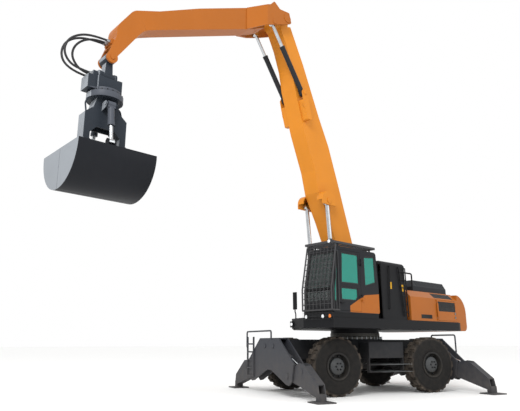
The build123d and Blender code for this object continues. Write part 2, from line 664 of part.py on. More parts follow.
def groove(start, end, x0, x1):
    """A shallow cut in a sheet's outer face, between two points of its section."""
    way = Vector(*end) - Vector(*start)
    out = Vector(way.Y, -way.X).normalized()
    low, high = Vector(*start), Vector(*end)
    corners = [low + out, high + out, high - out * GROOVE[0], low - out * GROOVE[0]]
    return slab([(c.X, c.Y) for c in corners], "X", x0, x1)


def between(start, end, share):
    """The point at a share of the way from one point to another."""
    return tuple(a + (b - a) * share for a, b in zip(start, end))


def bay_grille():
    """Rows of long grooves in the housing's sloped shoulder."""
    x0, x1, rows = BAY_GRILLE
    foot, top = BAY_SECTION[4], BAY_SECTION[3]
    cuts = []
    for k in range(rows):
        share = (k + 1) / (rows + 1)
        half = GROOVE[1] / 2 / hypot(top[0] - foot[0], top[1] - foot[1])
        cuts.append(groove(between(foot, top, share - half), between(foot, top, share + half), x0, x1))
    return cuts


def engine_housing():
    bay = bay_shell()
    top, side = BAY_SECTION[2][1], BAY_SECTION[-1][0]
    x0, x1, y = BAY_TOP_HOLE
    bay -= block(x0, x1, -y, y, top - 2 * SHEET, top + SHEET)
    bay -= pair(block(*DOOR_X, side - 2 * SHEET, side + SHEET, *DOOR_Z))
    slot = (BEAM_Y[0] - OVERLAP, BEAM_Y[1] + OVERLAP, DECK_Z[1] - OVERLAP, BEAM_TOP + OVERLAP)
    bay -= pair(block(BAY_X[0] - 1, BAY_X[1] + 1, *slot))
    x, y = DOOR_X[1] + DOOR_HINGE_X, DOOR_HINGE_Y
    hinge = bar((x, y, DOOR_Z[0]), (x, y, DOOR_Z[1]), HINGE_R)
    for z in (DOOR_Z[0], DOOR_Z[1] - 2 * HINGE_TAB):
        hinge += block(x - HINGE_R, x + HINGE_TAB, side - SHEET / 2, y, z, z + 2 * HINGE_TAB)
    for cut in bay_grille():
        bay -= pair(cut)
    return bay + pair(hinge)


def service_door():
    gap, side = DOOR_GAP, BAY_SECTION[-1][0]
    wide, inner, short = DOOR_STRAP
    panel = block(DOOR_X[0] + gap, DOOR_X[1] - gap, side - SHEET, side, DOOR_Z[0] + gap, DOOR_Z[1] - gap)
    x0, x1, low, high, rows = DOOR_GRILLE
    deep, tall = GROOVE
    for k in range(rows):
        z = low + (high - low - tall) * k / (rows - 1)
        panel -= block(x0, x1, side - deep, side + 1, z, z + tall)
    x, y = DOOR_X[1] + DOOR_HINGE_X, DOOR_HINGE_Y
    low, high = DOOR_Z[0] + short, DOOR_Z[1] - short
    strap = block(x - wide, x, y - HINGE_KNUCKLE, y - HINGE_R, low, high)
    strap += block(x - wide, x - inner, side - 1, y - HINGE_R, low, high)
    strap += bar((x, y, low), (x, y, high), HINGE_KNUCKLE)
    return panel + strap - bar((x, y, DOOR_Z[0]), (x, y, DOOR_Z[1]), HINGE_R + RUN)


def engine_hood():
    wide, low = HOOD_SECTION[-1]
    x0, x1 = HOOD_X
    gauge = HOOD_GAUGE
    outer = slab(HOOD_SECTION, "X", x0, x1) & slab(HOOD_NOSE, "Y", -wide, wide)
    inner = inset(HOOD_SECTION, "X", gauge, x0 + gauge, x1 - gauge)
    inner += block(x0 + gauge, x1 - gauge, gauge - wide, wide - gauge, low - 1, low + gauge + 1)
    hood = outer - (inner & inset(HOOD_NOSE, "Y", gauge, -wide, wide))
    first, last, count = HOOD_LOUVRES
    corner = HOOD_SECTION[3]
    for k in range(count):
        x = first + (last - first) * k / (count - 1)
        for end in (HOOD_SECTION[4], (0, corner[1])):
            ends = [between(end, corner, share) for share in (LOUVRE_SHARE, 1 - LOUVRE_SHARE)]
            hood -= pair(groove(*(ends if end[0] else reversed(ends)), x, x + GROOVE[1]))
    x, z = HOOD_HINGE
    y = HOOD_HINGE_Y[0]
    hood += bar((x, -y, z), (x, y, z), HINGE_KNUCKLE)
    hood += block(x, x0 + OVERLAP, -y, y, z - HINGE_R, z + HINGE_R)
    return hood - bar((x, -wide, z), (x, wide, z), HINGE_R + RUN)


def hood_hinge():
    x, z = HOOD_HINGE
    _, low, high = HOOD_HINGE_Y
    pin = bar((x, -high, z), (x, high, z), HINGE_R)
    foot = BAY_SECTION[2][1] - SHEET / 2
    return pin + pair(block(x - HOOD_POST, x + HOOD_POST, low, high, foot, z + HINGE_R))


def engine_block():
    x0, x1, y, z0, z1 = ENGINE
    return block(x0, x1, -y, y, z0, z1)


def cab_solid(amount):
    if amount:
        return inset(CAB_OUTLINE, "Y", amount, CAB_Y[0] + amount, CAB_Y[1] - amount, CAB_ROUND)
    return slab(CAB_OUTLINE, "Y", *CAB_Y, CAB_ROUND)


def end_panes(gap):
    """Blocks through the front and rear window places."""
    front = (CAB_OUTLINE[3][0] - PANE_DEEP, CAB_OUTLINE[1][0] + PANE_DEEP)
    rear = (CAB_OUTLINE[0][0] - PANE_DEEP, CAB_OUTLINE[4][0] + PANE_DEEP)
    panes = None
    for (x0, x1), (y0, y1, z0, z1) in ((front, FRONT_PANE), (rear, REAR_PANE)):
        pane = block(x0, x1, y0 + gap, y1 - gap, z0 + gap, z1 - gap)
        panes = pane if panes is None else panes + pane
    return panes


def side_panes():
    """The side windows' outlines, each with where its block starts and ends."""
    left = (CAB_Y[1] - PANE_DEEP, CAB_Y[1] + PANE_DEEP)
    right = (CAB_Y[0] - PANE_DEEP, CAB_Y[0] + PANE_DEEP)
    return [(points, left) for points in LEFT_PANES] + [(RIGHT_PANE, right)]


def pane_holes():
    holes = end_panes(0)
    for points, ends in side_panes():
        holes += slab(points, "Y", *ends)
    return holes


def shrunk_panes():
    panes = end_panes(GLASS_GAP)
    for points, ends in side_panes():
        panes += inset(points, "Y", GLASS_GAP, *ends)
    return panes


def cab_shell():
    side = CAB_Y[1]
    shell = cab_solid(0) - cab_solid(CAB_WALL) - pane_holes()
    shell -= slab(DOOR_HOLE, "Y", side - CAB_WALL - 1, side + 1)
    x, y = HINGE_AT
    for z in HINGE_Z:
        low, high = z - DOOR_GAP - HINGE_TAB, z + HINGE_LEN + DOOR_GAP
        shell += bar((x, y, low), (x, y, high + HINGE_TAB), HINGE_R)
        for level in (low, high):
            shell += block(x - 2 * HINGE_TAB, x + HINGE_R, side - 1, y + HINGE_R, level, level + HINGE_TAB)
    return shell


def glass_layer():
    return cab_solid(GLASS_INSET[0]) - cab_solid(GLASS_INSET[1])


def cab_glass():
    return glass_layer() & shrunk_panes()


def door_solid():
    return inset(DOOR_HOLE, "Y", DOOR_GAP, CAB_Y[1] - CAB_WALL, CAB_Y[1])


def cab_door():
    side = CAB_Y[1]
    door = door_solid()
    for points in DOOR_PANES:
        door -= slab(points, "Y", side - CAB_WALL - 1, side + 1)
    x, y = HINGE_AT
    far, near = x + HINGE_STRAP[1], x + HINGE_STRAP[0]
    for z in HINGE_Z:
        door += bar((x, y, z), (x, y, z + HINGE_LEN), HINGE_KNUCKLE)
        door += block(x, far, side + OVERLAP, y - HINGE_R, z, z + HINGE_LEN)
        door += block(near, far, side - 1, side + OVERLAP + 1, z, z + HINGE_LEN)
        door -= bar((x, y, z - 1), (x, y, z + HINGE_LEN + 1), HINGE_R + RUN)
    return door


def cab_door_glass():
    low, high = CAB_Y[1] - GLASS_INSET[1], CAB_Y[1] - GLASS_INSET[0]
    upper, lower = [inset(points, "Y", GLASS_GAP, low, high) for points in DOOR_PANES]
    return upper + lower


def along(line, z):
    """Where a leaning line stands at a height."""
    for (xa, za), (xb, zb) in zip(line, line[1:]):
        if za <= z <= zb:
            return xa + (xb - xa) * (z - za) / (zb - za)
    return line[-1][0]


def guard_top(x):
    """The height at which the leaning guard passes a place in front of the cab."""
    (xa, za), (xb, zb) = GUARD_LINE[1:]
    return min(RETURN_TOP, za + (zb - za) * (xa - x) / (xa - xb))


def front_guard():
    low, high = GUARD_LINE[0][1], GUARD_LINE[-1][1]
    y0, y1 = GUARD_Y
    bars = []
    for k in range(GUARD_BARS + 1):
        y = y0 + (y1 - y0) * k / GUARD_BARS
        radius = GUARD_R if k in (0, GUARD_BARS) else GUARD_BAR_R
        bars.append(pipe([(x, y, z) for x, z in GUARD_LINE], GUARD_BEND, radius))
    face = CAB_OUTLINE[1:4]
    lean = (face[1][0] - face[2][0]) / (face[2][1] - face[1][1])
    for k in range(GUARD_RUNGS + 1):
        z = low + (high - low) * k / GUARD_RUNGS
        radius = GUARD_R if k in (0, GUARD_RUNGS) else GUARD_BAR_R
        x = along(GUARD_LINE, z)
        bars.append(bar((x, y0, z), (x, y1, z), radius))
        if k in GUARD_SEATS:
            foot = along(face, z) + RUN + (GUARD_FOOT_R * lean if z > face[1][1] else 0)
            for y in (CAB_Y[0] + GUARD_R, CAB_Y[1] - GUARD_R):
                bars.append(bar((x, y, z), (foot, y, z), GUARD_FOOT_R))
    return bars


def side_return():
    """The guard's left side, from the front corner back to the door."""
    y = GUARD_Y[1]
    low = GUARD_LINE[0][1]
    last = RETURN_X[-1]
    bars = [bar((GUARD_LINE[0][0], y, low), (last, y, low), GUARD_R),
            bar((along(GUARD_LINE, RETURN_TOP), y, RETURN_TOP), (last, y, RETURN_TOP), GUARD_BAR_R)]
    for x in RETURN_X:
        bars.append(bar((x, y, low), (x, y, guard_top(x)), GUARD_BAR_R))
    for z in RETURN_SEAT_Z:
        bars.append(bar((last, y, z), (last, CAB_Y[1] + RUN, z), GUARD_BAR_R))
    return bars


def roof_guard():
    x0, x1 = ROOF_X
    y0, y1 = ROOF_Y
    z0, z1 = ROOF_Z
    roof = block(*ROOF_X, *ROOF_Y, *ROOF_Z)
    roof -= block(x0 + ROOF_EDGE, x1 - ROOF_EDGE, y0 + ROOF_EDGE, y1 - ROOF_EDGE, z0 - 1, z1 + 1)
    for k in range(1, ROOF_BARS):
        x = x0 + (x1 - x0) * k / ROOF_BARS
        roof += block(x - ROOF_BAR, x + ROOF_BAR, y0 + 1, y1 - 1, z0 + ROOF_BAR, z1 - ROOF_BAR)
    for x in ROOF_POST_X:
        roof += block(x - ROOF_POST_R, x + ROOF_POST_R, y0 + 1, y1 - 1, z0, z0 + ROOF_BAR * 2)
        for y in ROOF_POST_Y:
            roof += bar((x, y, CAB_OUTLINE[3][1] + RUN), (x, y, z0 + ROOF_BAR), ROOF_POST_R)
    x0, x1, y0, y1, z0, z1 = CAB_LAMP
    return roof + block(*CAB_LAMP) + lamp(x1, (y0 + y1) / 2, (z0 + z1) / 2)


def cab_guard():
    return roof_guard() + front_guard() + side_return()


def operator_station():
    x, y, z = SEAT_X, SEAT_Y, FLOOR_Z
    half, tall = SEAT_BASE
    station = block(x - half, x + half, y - half, y + half, z, z + tall)
    half, side, low, high = SEAT_CUSHION
    station += block(x - half, x + half, y - side, y + side, z + low, z + high)
    station += slab([(x + a, z + b) for a, b in SEAT_BACK], "Y", y - SEAT_BACK_Y, y + SEAT_BACK_Y)
    x0, x1, out, half, tall = ARM_CONSOLE
    foot, top, high, radius = LEVER
    for edge in (y + out, y - out):
        station += block(x + x0, x + x1, edge - half, edge + half, z, z + tall)
        station += bar((x + foot, edge, z + tall - OVERLAP), (x + top, edge, z + high), radius)
    half = FRONT_CONSOLE_Y
    return station + slab([(x + a, z + b) for a, b in FRONT_CONSOLE], "Y", y - half, y + half)


def tank(sizes, radius):
    x0, x1, y0, y1, z0, z1 = sizes
    box = block(*sizes)
    box = fillet(box.edges().filter_by(lambda e: e.center().Z > z0 + 1), radius)
    return box - block(x0 + SHEET, x1 - SHEET, y0 + SHEET, y1 - SHEET, z0 - 1, z1 - radius)


def tanks():
    x, y, radius, tall = TANK_CAP
    left = tank(TANK_LEFT, TANK_ROUND)
    left += bar((x, y, TANK_LEFT[5] - OVERLAP), (x, y, TANK_LEFT[5] + tall), radius)
    right = tank(TANK_RIGHT, TANK_ROUND / 2)
    right += bar((x, -y, TANK_RIGHT[5] - OVERLAP), (x, -y, TANK_RIGHT[5] + tall), radius)
    return left + right + tank(STEP_RIGHT, TANK_ROUND / 4)


def tank_ladder():
    """Tube stiles with rungs, held off the left tank's side."""
    side = TANK_LEFT[3]
    y = side + STILE_OUT
    ladder = None
    for (xa, za), (xb, zb) in TANK_STILES:
        stile = bar((xa, y, za), (xb, y, zb), STILE_R)
        for x, z in ((xa, za), (xb, zb)):
            stile += bar((x, y, z), (x, side + RUN, z), STILE_R)
        ladder = stile if ladder is None else ladder + stile
    (top, foot), (far_top, far_foot) = TANK_STILES[1:]
    for k in range(STILE_RUNGS):
        share = (k + 0.5) / STILE_RUNGS
        z = top[1] + (foot[1] - top[1]) * share
        near = top[0] + (foot[0] - top[0]) * share
        far = far_top[0] + (far_foot[0] - far_top[0]) * share
        ladder += bar((near, y, z), (far, y, z), STILE_R - 2)
    return ladder


def rails_and_lamps():
    rails = pipe(DECK_RAIL, RAIL_BEND, RAIL_R)
    rails += across(rails) + tank_ladder()
    return rails + pipe(MIRROR_ARM, MIRROR_BEND, STILE_R) + block(*MIRROR)


def boom_pipes():
    """Steel lines up the boom's back, held by clamp blocks."""
    back = BOOM_OUTLINE[1:6]
    legs = []
    for (xa, za), (xb, zb) in zip(back, back[1:]):
        run = hypot(xb - xa, zb - za)
        legs.append(((xb - xa) / run, (zb - za) / run))
    route = []
    for k, (x, z) in enumerate(back):
        ways = legs[max(k - 1, 0):k + 1]
        out = [(-sum(w[1] for w in ways) / len(ways)), sum(w[0] for w in ways) / len(ways)]
        route.append((x + out[0] * BOOM_PIPE_OUT, z + out[1] * BOOM_PIPE_OUT))
    lines = None
    for y in BOOM_PIPE_Y:
        line = pipe([(x, y, z) for x, z in route], BOOM_PIPE_BEND, BOOM_PIPE_R)
        lines = line if lines is None else lines + line
    half, side, out = BOOM_CLAMP
    for (xa, za), (xb, zb), (a, b) in zip(back, back[1:], legs):
        x, z = (xa + xb) / 2, (za + zb) / 2
        places = ((-half, -1), (half, -1), (half, out), (-half, out))
        lines += slab([(x + a * u - b * v, z + b * u + a * v) for u, v in places], "Y", -side, side)
    return lines


def boom():
    body = slab(BOOM_OUTLINE, "Y", -BOOM_Y, BOOM_Y)
    core = inset(BOOM_OUTLINE, "Y", BOOM_WALL, -BOOM_Y + BOOM_WALL, BOOM_Y - BOOM_WALL)
    places = [x for x, _ in BOOM_OUTLINE]
    body -= core & block(min(places), max(places), -BOOM_Y, BOOM_Y, *BOOM_CORE_Z)
    body += bar((FOOT_PIN[0], -BOOM_Y, FOOT_PIN[1]), (FOOT_PIN[0], BOOM_Y, FOOT_PIN[1]), BOOM_FOOT_R)
    body += bar((ELBOW[0], -BOOM_Y, ELBOW[1]), (ELBOW[0], BOOM_Y, ELBOW[1]), ELBOW_R)
    for (x, z), radius in ((FOOT_PIN, FOOT_PIN_R), (ELBOW, ELBOW_PIN_R)):
        body -= bar((x, -BOOM_Y - 1, z), (x, BOOM_Y + 1, z), radius + RUN)
    x, z = BOOM_EYE
    inner, outer = HOOD_R
    near, far = HOOD_EAR_Y
    below = block(x - outer, x + outer, BOOM_Y - 2, far + 1, z - outer, z)
    cover = bar((x, BOOM_Y - 1, z), (x, far, z), outer) - below
    cover -= bar((x, BOOM_Y - 2, z), (x, far + 1, z), inner)
    ear = bar((x, near, z), (x, far, z), outer) - below + slab(HOOD_EAR, "Y", near, far)
    ear += bar((x, far - 1, z), (x, far + PIN_HEAD, z), BOOM_CYL["pin"] + PIN_COLLAR)
    x, z = STICK_CYL_FOOT
    wing = slab(WING_EAR, "Y", *WING_EAR_Y, WING_ROUND)
    wing += slab(WING_BLOCK, "Y", BOOM_Y - 1, WING_EAR_Y[1], WING_ROUND)
    wing += bar((x, BOOM_Y - 1, z), (x, WING_EAR_Y[1] + PIN_HEAD, z), STICK_CYL["pin"])
    return body + pair(cover + ear + wing) + boom_pipes()


def boom_cylinders():
    foot = (CYL_FOOT[0], CYL_Y, CYL_FOOT[1])
    eye = (BOOM_EYE[0], CYL_Y, BOOM_EYE[1])
    barrel, rod = cylinder_pair(foot, eye, (0, 1, 0), BOOM_CYL)
    return pair(barrel), pair(rod)


def stick():
    body = slab(STICK_OUTLINE, "Y", -STICK_Y, STICK_Y, STICK_BENDS)
    hollow = [point for place, point in enumerate(STICK_OUTLINE) if place not in STICK_NECK]
    body -= inset(hollow, "Y", STICK_WALL, -STICK_Y + STICK_WALL, STICK_Y - STICK_WALL)
    x, z = STICK_TIP
    body += bar((x, -STICK_Y, z), (x, STICK_Y, z), TIP_BOSS_R)
    wide, half, tall = TIP_SLOT
    body -= block(x - wide, x + wide, -half, half, z - wide, z + tall)
    near, far, half, low, high = STICK_PORT
    body += block(near, far, -half, half, low, high)
    levels = [z for _, z in FORK_OUTLINE]
    out = FORK_PLAN[1][1]
    plates = slab(FORK_PLAN, "Z", min(levels), max(levels)) & slab(FORK_OUTLINE, "Y", 0, out, FORK_ROUND)
    reach = out + PIN_HEAD
    x, z = STICK_EYE
    plates += bar((x, out - 1, z), (x, reach, z), STICK_CYL["pin"] + PIN_COLLAR)
    x, z = ELBOW
    plates += bar((x, out - 1, z), (x, reach, z), ELBOW_PIN_R * 2)
    body += pair(plates) + bar((x, -reach, z), (x, reach, z), ELBOW_PIN_R)
    x, z = STICK_TIP
    side = STICK_Y + PIN_HEAD
    return body + bar((x, -side, z), (x, side, z), TIP_PIN_R)


def stick_cylinders():
    foot = (STICK_CYL_FOOT[0], STICK_CYL_Y, STICK_CYL_FOOT[1])
    eye = (STICK_EYE[0], STICK_CYL_Y, STICK_EYE[1])
    barrel, rod = cylinder_pair(foot, eye, (0, 1, 0), STICK_CYL)
    return pair(barrel), pair(rod)


def grab_link():
    x, z = STICK_TIP
    half = LINK_CROSS
    link = bar((x, -LINK_Y, z), (x, LINK_Y, z), LINK_R)
    link += slab([(GRAB_X + a, b) for a, b in LINK_WAIST], "Y", -CROSS_R, CROSS_R)
    link += bar((GRAB_X - half, 0, CROSS_Z), (GRAB_X + half, 0, CROSS_Z), CROSS_R)
    link -= bar((x, -LINK_Y - 1, z), (x, LINK_Y + 1, z), TIP_PIN_R + RUN)
    return link - bar((GRAB_X - half - 1, 0, CROSS_Z), (GRAB_X + half + 1, 0, CROSS_Z), CROSS_PIN_R + RUN)


def grab_head():
    half_x, half_y, low, high = HEAD_BLOCK
    head = block(GRAB_X - half_x, GRAB_X + half_x, -half_y, half_y, low, high)
    ear = CROSS_R + HEAD_EAR_WALL
    dip = HEAD_EAR_X[0] - 1
    head -= block(GRAB_X - dip, GRAB_X + dip, -half_y - 1, half_y + 1, CROSS_Z - ear - HEAD_DIP, high + 1)
    radius, z0, z1 = HEAD_FLANGE
    head += bar((GRAB_X, 0, z0), (GRAB_X, 0, z1), radius)
    for x0, x1, y, z0, z1 in (HEAD_MOTOR, HEAD_PORT):
        head += block(GRAB_X + x0, GRAB_X + x1, -y, y, z0, z1)
    for side in (1, -1):
        a, b = [GRAB_X + side * v for v in HEAD_EAR_X]
        head += bar((a, 0, CROSS_Z), (b, 0, CROSS_Z), ear)
        head += block(a, b, -ear, ear, high - ear, CROSS_Z)
    reach = HEAD_EAR_X[1] + PIN_HEAD
    head += bar((GRAB_X - reach, 0, CROSS_Z), (GRAB_X + reach, 0, CROSS_Z), CROSS_PIN_R)
    radius, top = ROTOR_SPIGOT
    return head - bar((GRAB_X, 0, low - 1), (GRAB_X, 0, top + SIDE), radius + RUN)


def grab_pipe():
    """A bent steel line from the turning ring to the frame's shoulder."""
    return pipe([(GRAB_X + x, y, z) for x, y, z in GRAB_PIPE], GRAB_PIPE_BEND, GRAB_PIPE_R)


def grab_frame():
    wall = FRAME_THICK - FRAME_WALL
    outline = [(GRAB_X + x, z) for x, z in FRAME_OUTLINE]
    frame = slab(outline, "Y", -FRAME_THICK, FRAME_THICK)
    frame -= slab([(GRAB_X + x, z) for x, z in FRAME_CORE], "Y", -wall, wall)
    radius, z0, z1 = ROTOR_RING
    frame += bar((GRAB_X, 0, z0), (GRAB_X, 0, z1), radius)
    radius, top = ROTOR_SPIGOT
    frame += bar((GRAB_X, 0, z1 - 1), (GRAB_X, 0, top), radius)
    y, z0, z1 = FRAME_LEG
    inner, outer = FRAME_OUTLINE[5][0], FRAME_OUTLINE[4][0]
    px0, px1 = SHELL_PIN_X
    z = SHELL_PIN[1]
    for side in (1, -1):
        frame += block(GRAB_X + side * inner, GRAB_X + side * outer, -y, y, z0, z1)
        for py in (SHELL_PIN[0], -SHELL_PIN[0]):
            frame += bar((GRAB_X + side * px0, py, z), (GRAB_X + side * px1, py, z), SHELL_PIN_R)
    for a, b in (GRAB_EAR_X, [-v for v in reversed(GRAB_EAR_X)]):
        frame += pair(slab(GRAB_EAR, "X", GRAB_X + a, GRAB_X + b, GRAB_EAR_ROUND))
    reach = GRAB_EAR_X[1] + PIN_HEAD
    y, z = GRAB_CYL_TOP
    frame += pair(bar((GRAB_X - reach, y, z), (GRAB_X + reach, y, z), GRAB_CYL["pin"]))
    line = grab_pipe()
    return frame + line + Pos(GRAB_X, 0, 0) * (Rot(Z=180) * (Pos(-GRAB_X, 0, 0) * line))


def quarter(radius, x0, x1):
    y, z = SHELL_CENTRE
    drum = bar((x0, y, z), (x1, y, z), radius)
    return drum & block(x0, x1, y, y + 2 * radius, z - 2 * radius, z)


def shell():
    x0, x1 = GRAB_X - SHELL_X, GRAB_X + SHELL_X
    gauge = SHELL_GAUGE
    bowl = quarter(SHELL_R, x0, x1) - quarter(SHELL_R - gauge, x0 + gauge, x1 - gauge)
    y, z = SHELL_CENTRE
    bowl -= block(x0 + gauge, x1 - gauge, y - 1, y + gauge + 2, z - SHELL_R + gauge, z + 1)
    for side in (1, -1):
        a, b = sorted(GRAB_X + side * v for v in SHELL_RIB_X)
        rib = quarter(SHELL_R - OVERLAP, a, b) + slab(SHELL_RIB, "X", a, b)
        bowl += rib - bar((a - 1, *SHELL_PIN), (b + 1, *SHELL_PIN), SHELL_PIN_R + RUN)
        a, b = sorted(GRAB_X + side * v for v in SHELL_EAR_X)
        bowl += slab(SHELL_EAR, "X", a, b, SHELL_EAR_ROUND)
    reach = SHELL_RIB_X[1] - OVERLAP
    return bowl + block(GRAB_X - reach, GRAB_X + reach, *SHELL_BEAM)


def grab_cylinder():
    return cylinder_pair((GRAB_X, *GRAB_CYL_TOP), (GRAB_X, *SHELL_EYE), (1, 0, 0), GRAB_CYL)


def hose_tube(number, route):
    """A free hose along its route, as round at each bend as its runs allow."""
    radii = []
    for a, b, c in zip(route, route[1:], route[2:]):
        into, out = Vector(b) - Vector(a), Vector(c) - Vector(b)
        turn = radians(into.get_angle(out))
        radii.append(HOSE_BEND * min(into.length, out.length) / tan(turn / 2))
    print(f"tip hose {number}: bend radii", [round(r) for r in radii], "mm")
    path = FilletPolyline(*route, radius=radii)
    start = Plane(origin=path @ 0, z_dir=path % 0)
    return sweep(start * Circle(HOSE_R), path=path)


def wheel_set(lower):
    disc, rubber = rim(), tyre()
    for end, x in (("front", AXLE_X), ("rear", -AXLE_X)):
        for side, turn in (("left", 0), ("right", 180)):
            place = Pos(x, WHEEL_Y if turn == 0 else -WHEEL_Y, AXLE_Z) * Rot(Z=turn)
            lower[f"rim_{end}_{side}"] = place * disc
            lower[f"tyre_{end}_{side}"] = place * rubber


def outrigger_set(lower):
    leg = outrigger_leg()
    barrel, rod = outrigger_cylinder()
    for name, shape in (("leg", leg), ("barrel", barrel), ("rod", rod)):
        lower[f"outrigger_{name}_front_left"] = shape
        lower[f"outrigger_{name}_front_right"] = across(shape)
        lower[f"outrigger_{name}_rear_left"] = behind(shape)
        lower[f"outrigger_{name}_rear_right"] = behind(across(shape))


def lower_nodes():
    left = knuckle()
    lower = {
        "chassis_frame": chassis_frame(),
        "outrigger_boxes": outrigger_boxes(),
        "axle_beams": front_axle() + rear_axle(),
        "slew_ring": turned(RING, "Z"),
        "side_steps": side_steps(),
        "knuckle_left": left,
        "knuckle_right": across(left),
    }
    wheel_set(lower)
    outrigger_set(lower)
    return lower


def upper_nodes():
    boom_barrels, boom_rods = boom_cylinders()
    stick_barrels, stick_rods = stick_cylinders()
    grab_barrel, grab_rod = grab_cylinder()
    left_shell = shell()
    left_door = service_door()
    upper = {
        "upper_frame": upper_frame(),
        "counterweight": counterweight(),
        "engine_block": engine_block(),
        "engine_housing": engine_housing() + hood_hinge(),
        "engine_hood": engine_hood(),
        "service_door_left": left_door,
        "service_door_right": across(left_door),
        "cab_shell": cab_shell(),
        "cab_glass": cab_glass(),
        "cab_guard": cab_guard(),
        "cab_door": cab_door(),
        "cab_door_glass": cab_door_glass(),
        "operator_station": operator_station(),
        "tanks": tanks(),
        "rails_and_lamps": rails_and_lamps(),
        "boom": boom(),
        "boom_barrels": boom_barrels,
        "boom_rods": boom_rods,
        "stick": stick(),
        "stick_barrels": stick_barrels,
        "stick_rods": stick_rods,
        "grab_link": grab_link(),
        "grab_head": grab_head(),
        "grab_frame": grab_frame(),
        "grab_shell_left": left_shell,
        "grab_shell_right": across(left_shell),
        "grab_barrel_left": grab_barrel,
        "grab_barrel_right": across(grab_barrel),
        "grab_rod_left": grab_rod,
        "grab_rod_right": across(grab_rod),
    }
    for number, route in enumerate(HOSE_ROUTES, 1):
        upper[f"tip_hose_{number}"] = hose_tube(number, route)
    return {name: Rot(Z=SLEW) * shape for name, shape in upper.items()}


os.makedirs("parts", exist_ok=True)
for node, solid in {**lower_nodes(), **upper_nodes()}.items():
    export_step(solid, f"parts/{node}.step")
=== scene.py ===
from math import atan2, cos, pi, radians, sin

import bmesh
import bpy
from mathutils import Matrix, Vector


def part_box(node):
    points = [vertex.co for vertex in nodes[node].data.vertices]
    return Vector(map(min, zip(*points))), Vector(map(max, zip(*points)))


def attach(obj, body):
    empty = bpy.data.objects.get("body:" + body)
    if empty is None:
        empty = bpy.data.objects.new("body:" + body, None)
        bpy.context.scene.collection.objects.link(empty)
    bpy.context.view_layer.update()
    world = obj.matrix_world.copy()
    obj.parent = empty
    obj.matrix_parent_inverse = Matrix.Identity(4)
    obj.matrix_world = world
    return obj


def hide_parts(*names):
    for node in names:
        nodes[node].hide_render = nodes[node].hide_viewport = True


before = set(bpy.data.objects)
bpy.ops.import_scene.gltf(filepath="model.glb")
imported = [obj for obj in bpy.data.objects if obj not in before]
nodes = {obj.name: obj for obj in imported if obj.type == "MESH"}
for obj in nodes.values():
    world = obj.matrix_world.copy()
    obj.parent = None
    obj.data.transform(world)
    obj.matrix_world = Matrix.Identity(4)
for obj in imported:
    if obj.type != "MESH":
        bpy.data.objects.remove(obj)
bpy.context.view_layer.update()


# Chassis frame, pedestal, axles and step boxes: welded plate and castings, sprayed
# with one coat of dark grey enamel, even in colour but dull and dusty low down.
def linear(hex_colour):
    """An sRGB hex colour as linear red, green, blue and alpha."""
    parts = [int(hex_colour[i:i + 2], 16) / 255 for i in (1, 3, 5)]
    return [c / 12.92 if c <= 0.04045 else ((c + 0.055) / 1.055) ** 2.4 for c in parts] + [1]


def put(tree, kind, links=None, **settings):
    """Adds a node with its settings, and fills its sockets with values or links."""
    new = tree.nodes.new(kind)
    for name, value in settings.items():
        setattr(new, name, value)
    for socket, value in (links or {}).items():
        if isinstance(value, bpy.types.NodeSocket):
            tree.links.new(value, new.inputs[socket])
        else:
            new.inputs[socket].default_value = value
    return new


def blank(name):
    """A new material: its node tree, its shader, and the place on the piece in metres."""
    material = bpy.data.materials.new(name)
    material.use_nodes = True
    shader = material.node_tree.nodes["Principled BSDF"]
    place = put(material.node_tree, "ShaderNodeTexCoord").outputs["Object"]
    return material, material.node_tree, shader, place


def noise(tree, place, size_mm, detail):
    """Soft noise whose blotches are about that size."""
    settings = {"Vector": place, "Scale": 1000 / size_mm, "Detail": detail}
    return put(tree, "ShaderNodeTexNoise", settings).outputs["Fac"]


def blend_colours(tree, share, first, second):
    """Mixes two colours, given as hex or as sockets, by a share from 0 to 1."""
    mixed = put(tree, "ShaderNodeMix", {"Factor": share}, data_type="RGBA")
    for socket, colour in ((6, first), (7, second)):
        if isinstance(colour, bpy.types.NodeSocket):
            tree.links.new(colour, mixed.inputs[socket])
        else:
            mixed.inputs[socket].default_value = linear(colour) if isinstance(colour, str) else colour
    return mixed.outputs[2]


def spread(tree, value, low, high, first, last):
    """Maps a value from one range to another, clamped."""
    return put(tree, "ShaderNodeMapRange", {0: value, 1: low, 2: high, 3: first, 4: last}).outputs[0]


def maths(tree, operation, a, b=0.0):
    """One sum or comparison of two values."""
    return put(tree, "ShaderNodeMath", {0: a, 1: b}, operation=operation).outputs[0]


def roughen(tree, shader, height, strength):
    """Turns a height into a fine bump on the shader."""
    bump = put(tree, "ShaderNodeBump", {"Height": height, "Strength": strength, "Distance": 0.002})
    tree.links.new(bump.outputs[0], shader.inputs["Normal"])


def sprayed_enamel(name, colour, dust, gloss, dust_top=1.4, shade=0.85, second=None):
    """Sprayed enamel: soft drift, fine orange peel, and yard dust that thins upwards.
    second is another colour with the function that gives its share of the surface."""
    material, tree, shader, place = blank(name)
    DRIFT_MM, PEEL_MM, DUST_MM = 900, 30, 140
    deep = [c * shade for c in linear(colour)[:3]] + [1]
    tone = blend_colours(tree, noise(tree, place, DRIFT_MM, 4), deep, colour)
    if second:
        tone = blend_colours(tree, second[1](tree, place), tone, second[0])
    height = put(tree, "ShaderNodeSeparateXYZ", {0: place}).outputs["Z"]
    fall = spread(tree, height, 0.0, dust_top, 0.5, 0.05)
    share = maths(tree, "MULTIPLY", fall, noise(tree, place, DUST_MM, 8))
    tree.links.new(blend_colours(tree, share, tone, dust), shader.inputs["Base Color"])
    tree.links.new(spread(tree, share, 0.0, 0.3, gloss, gloss + 0.25), shader.inputs["Roughness"])
    roughen(tree, shader, noise(tree, place, PEEL_MM, 2), 0.05)
    shader.inputs["Specular IOR Level"].default_value = 0.12
    return material


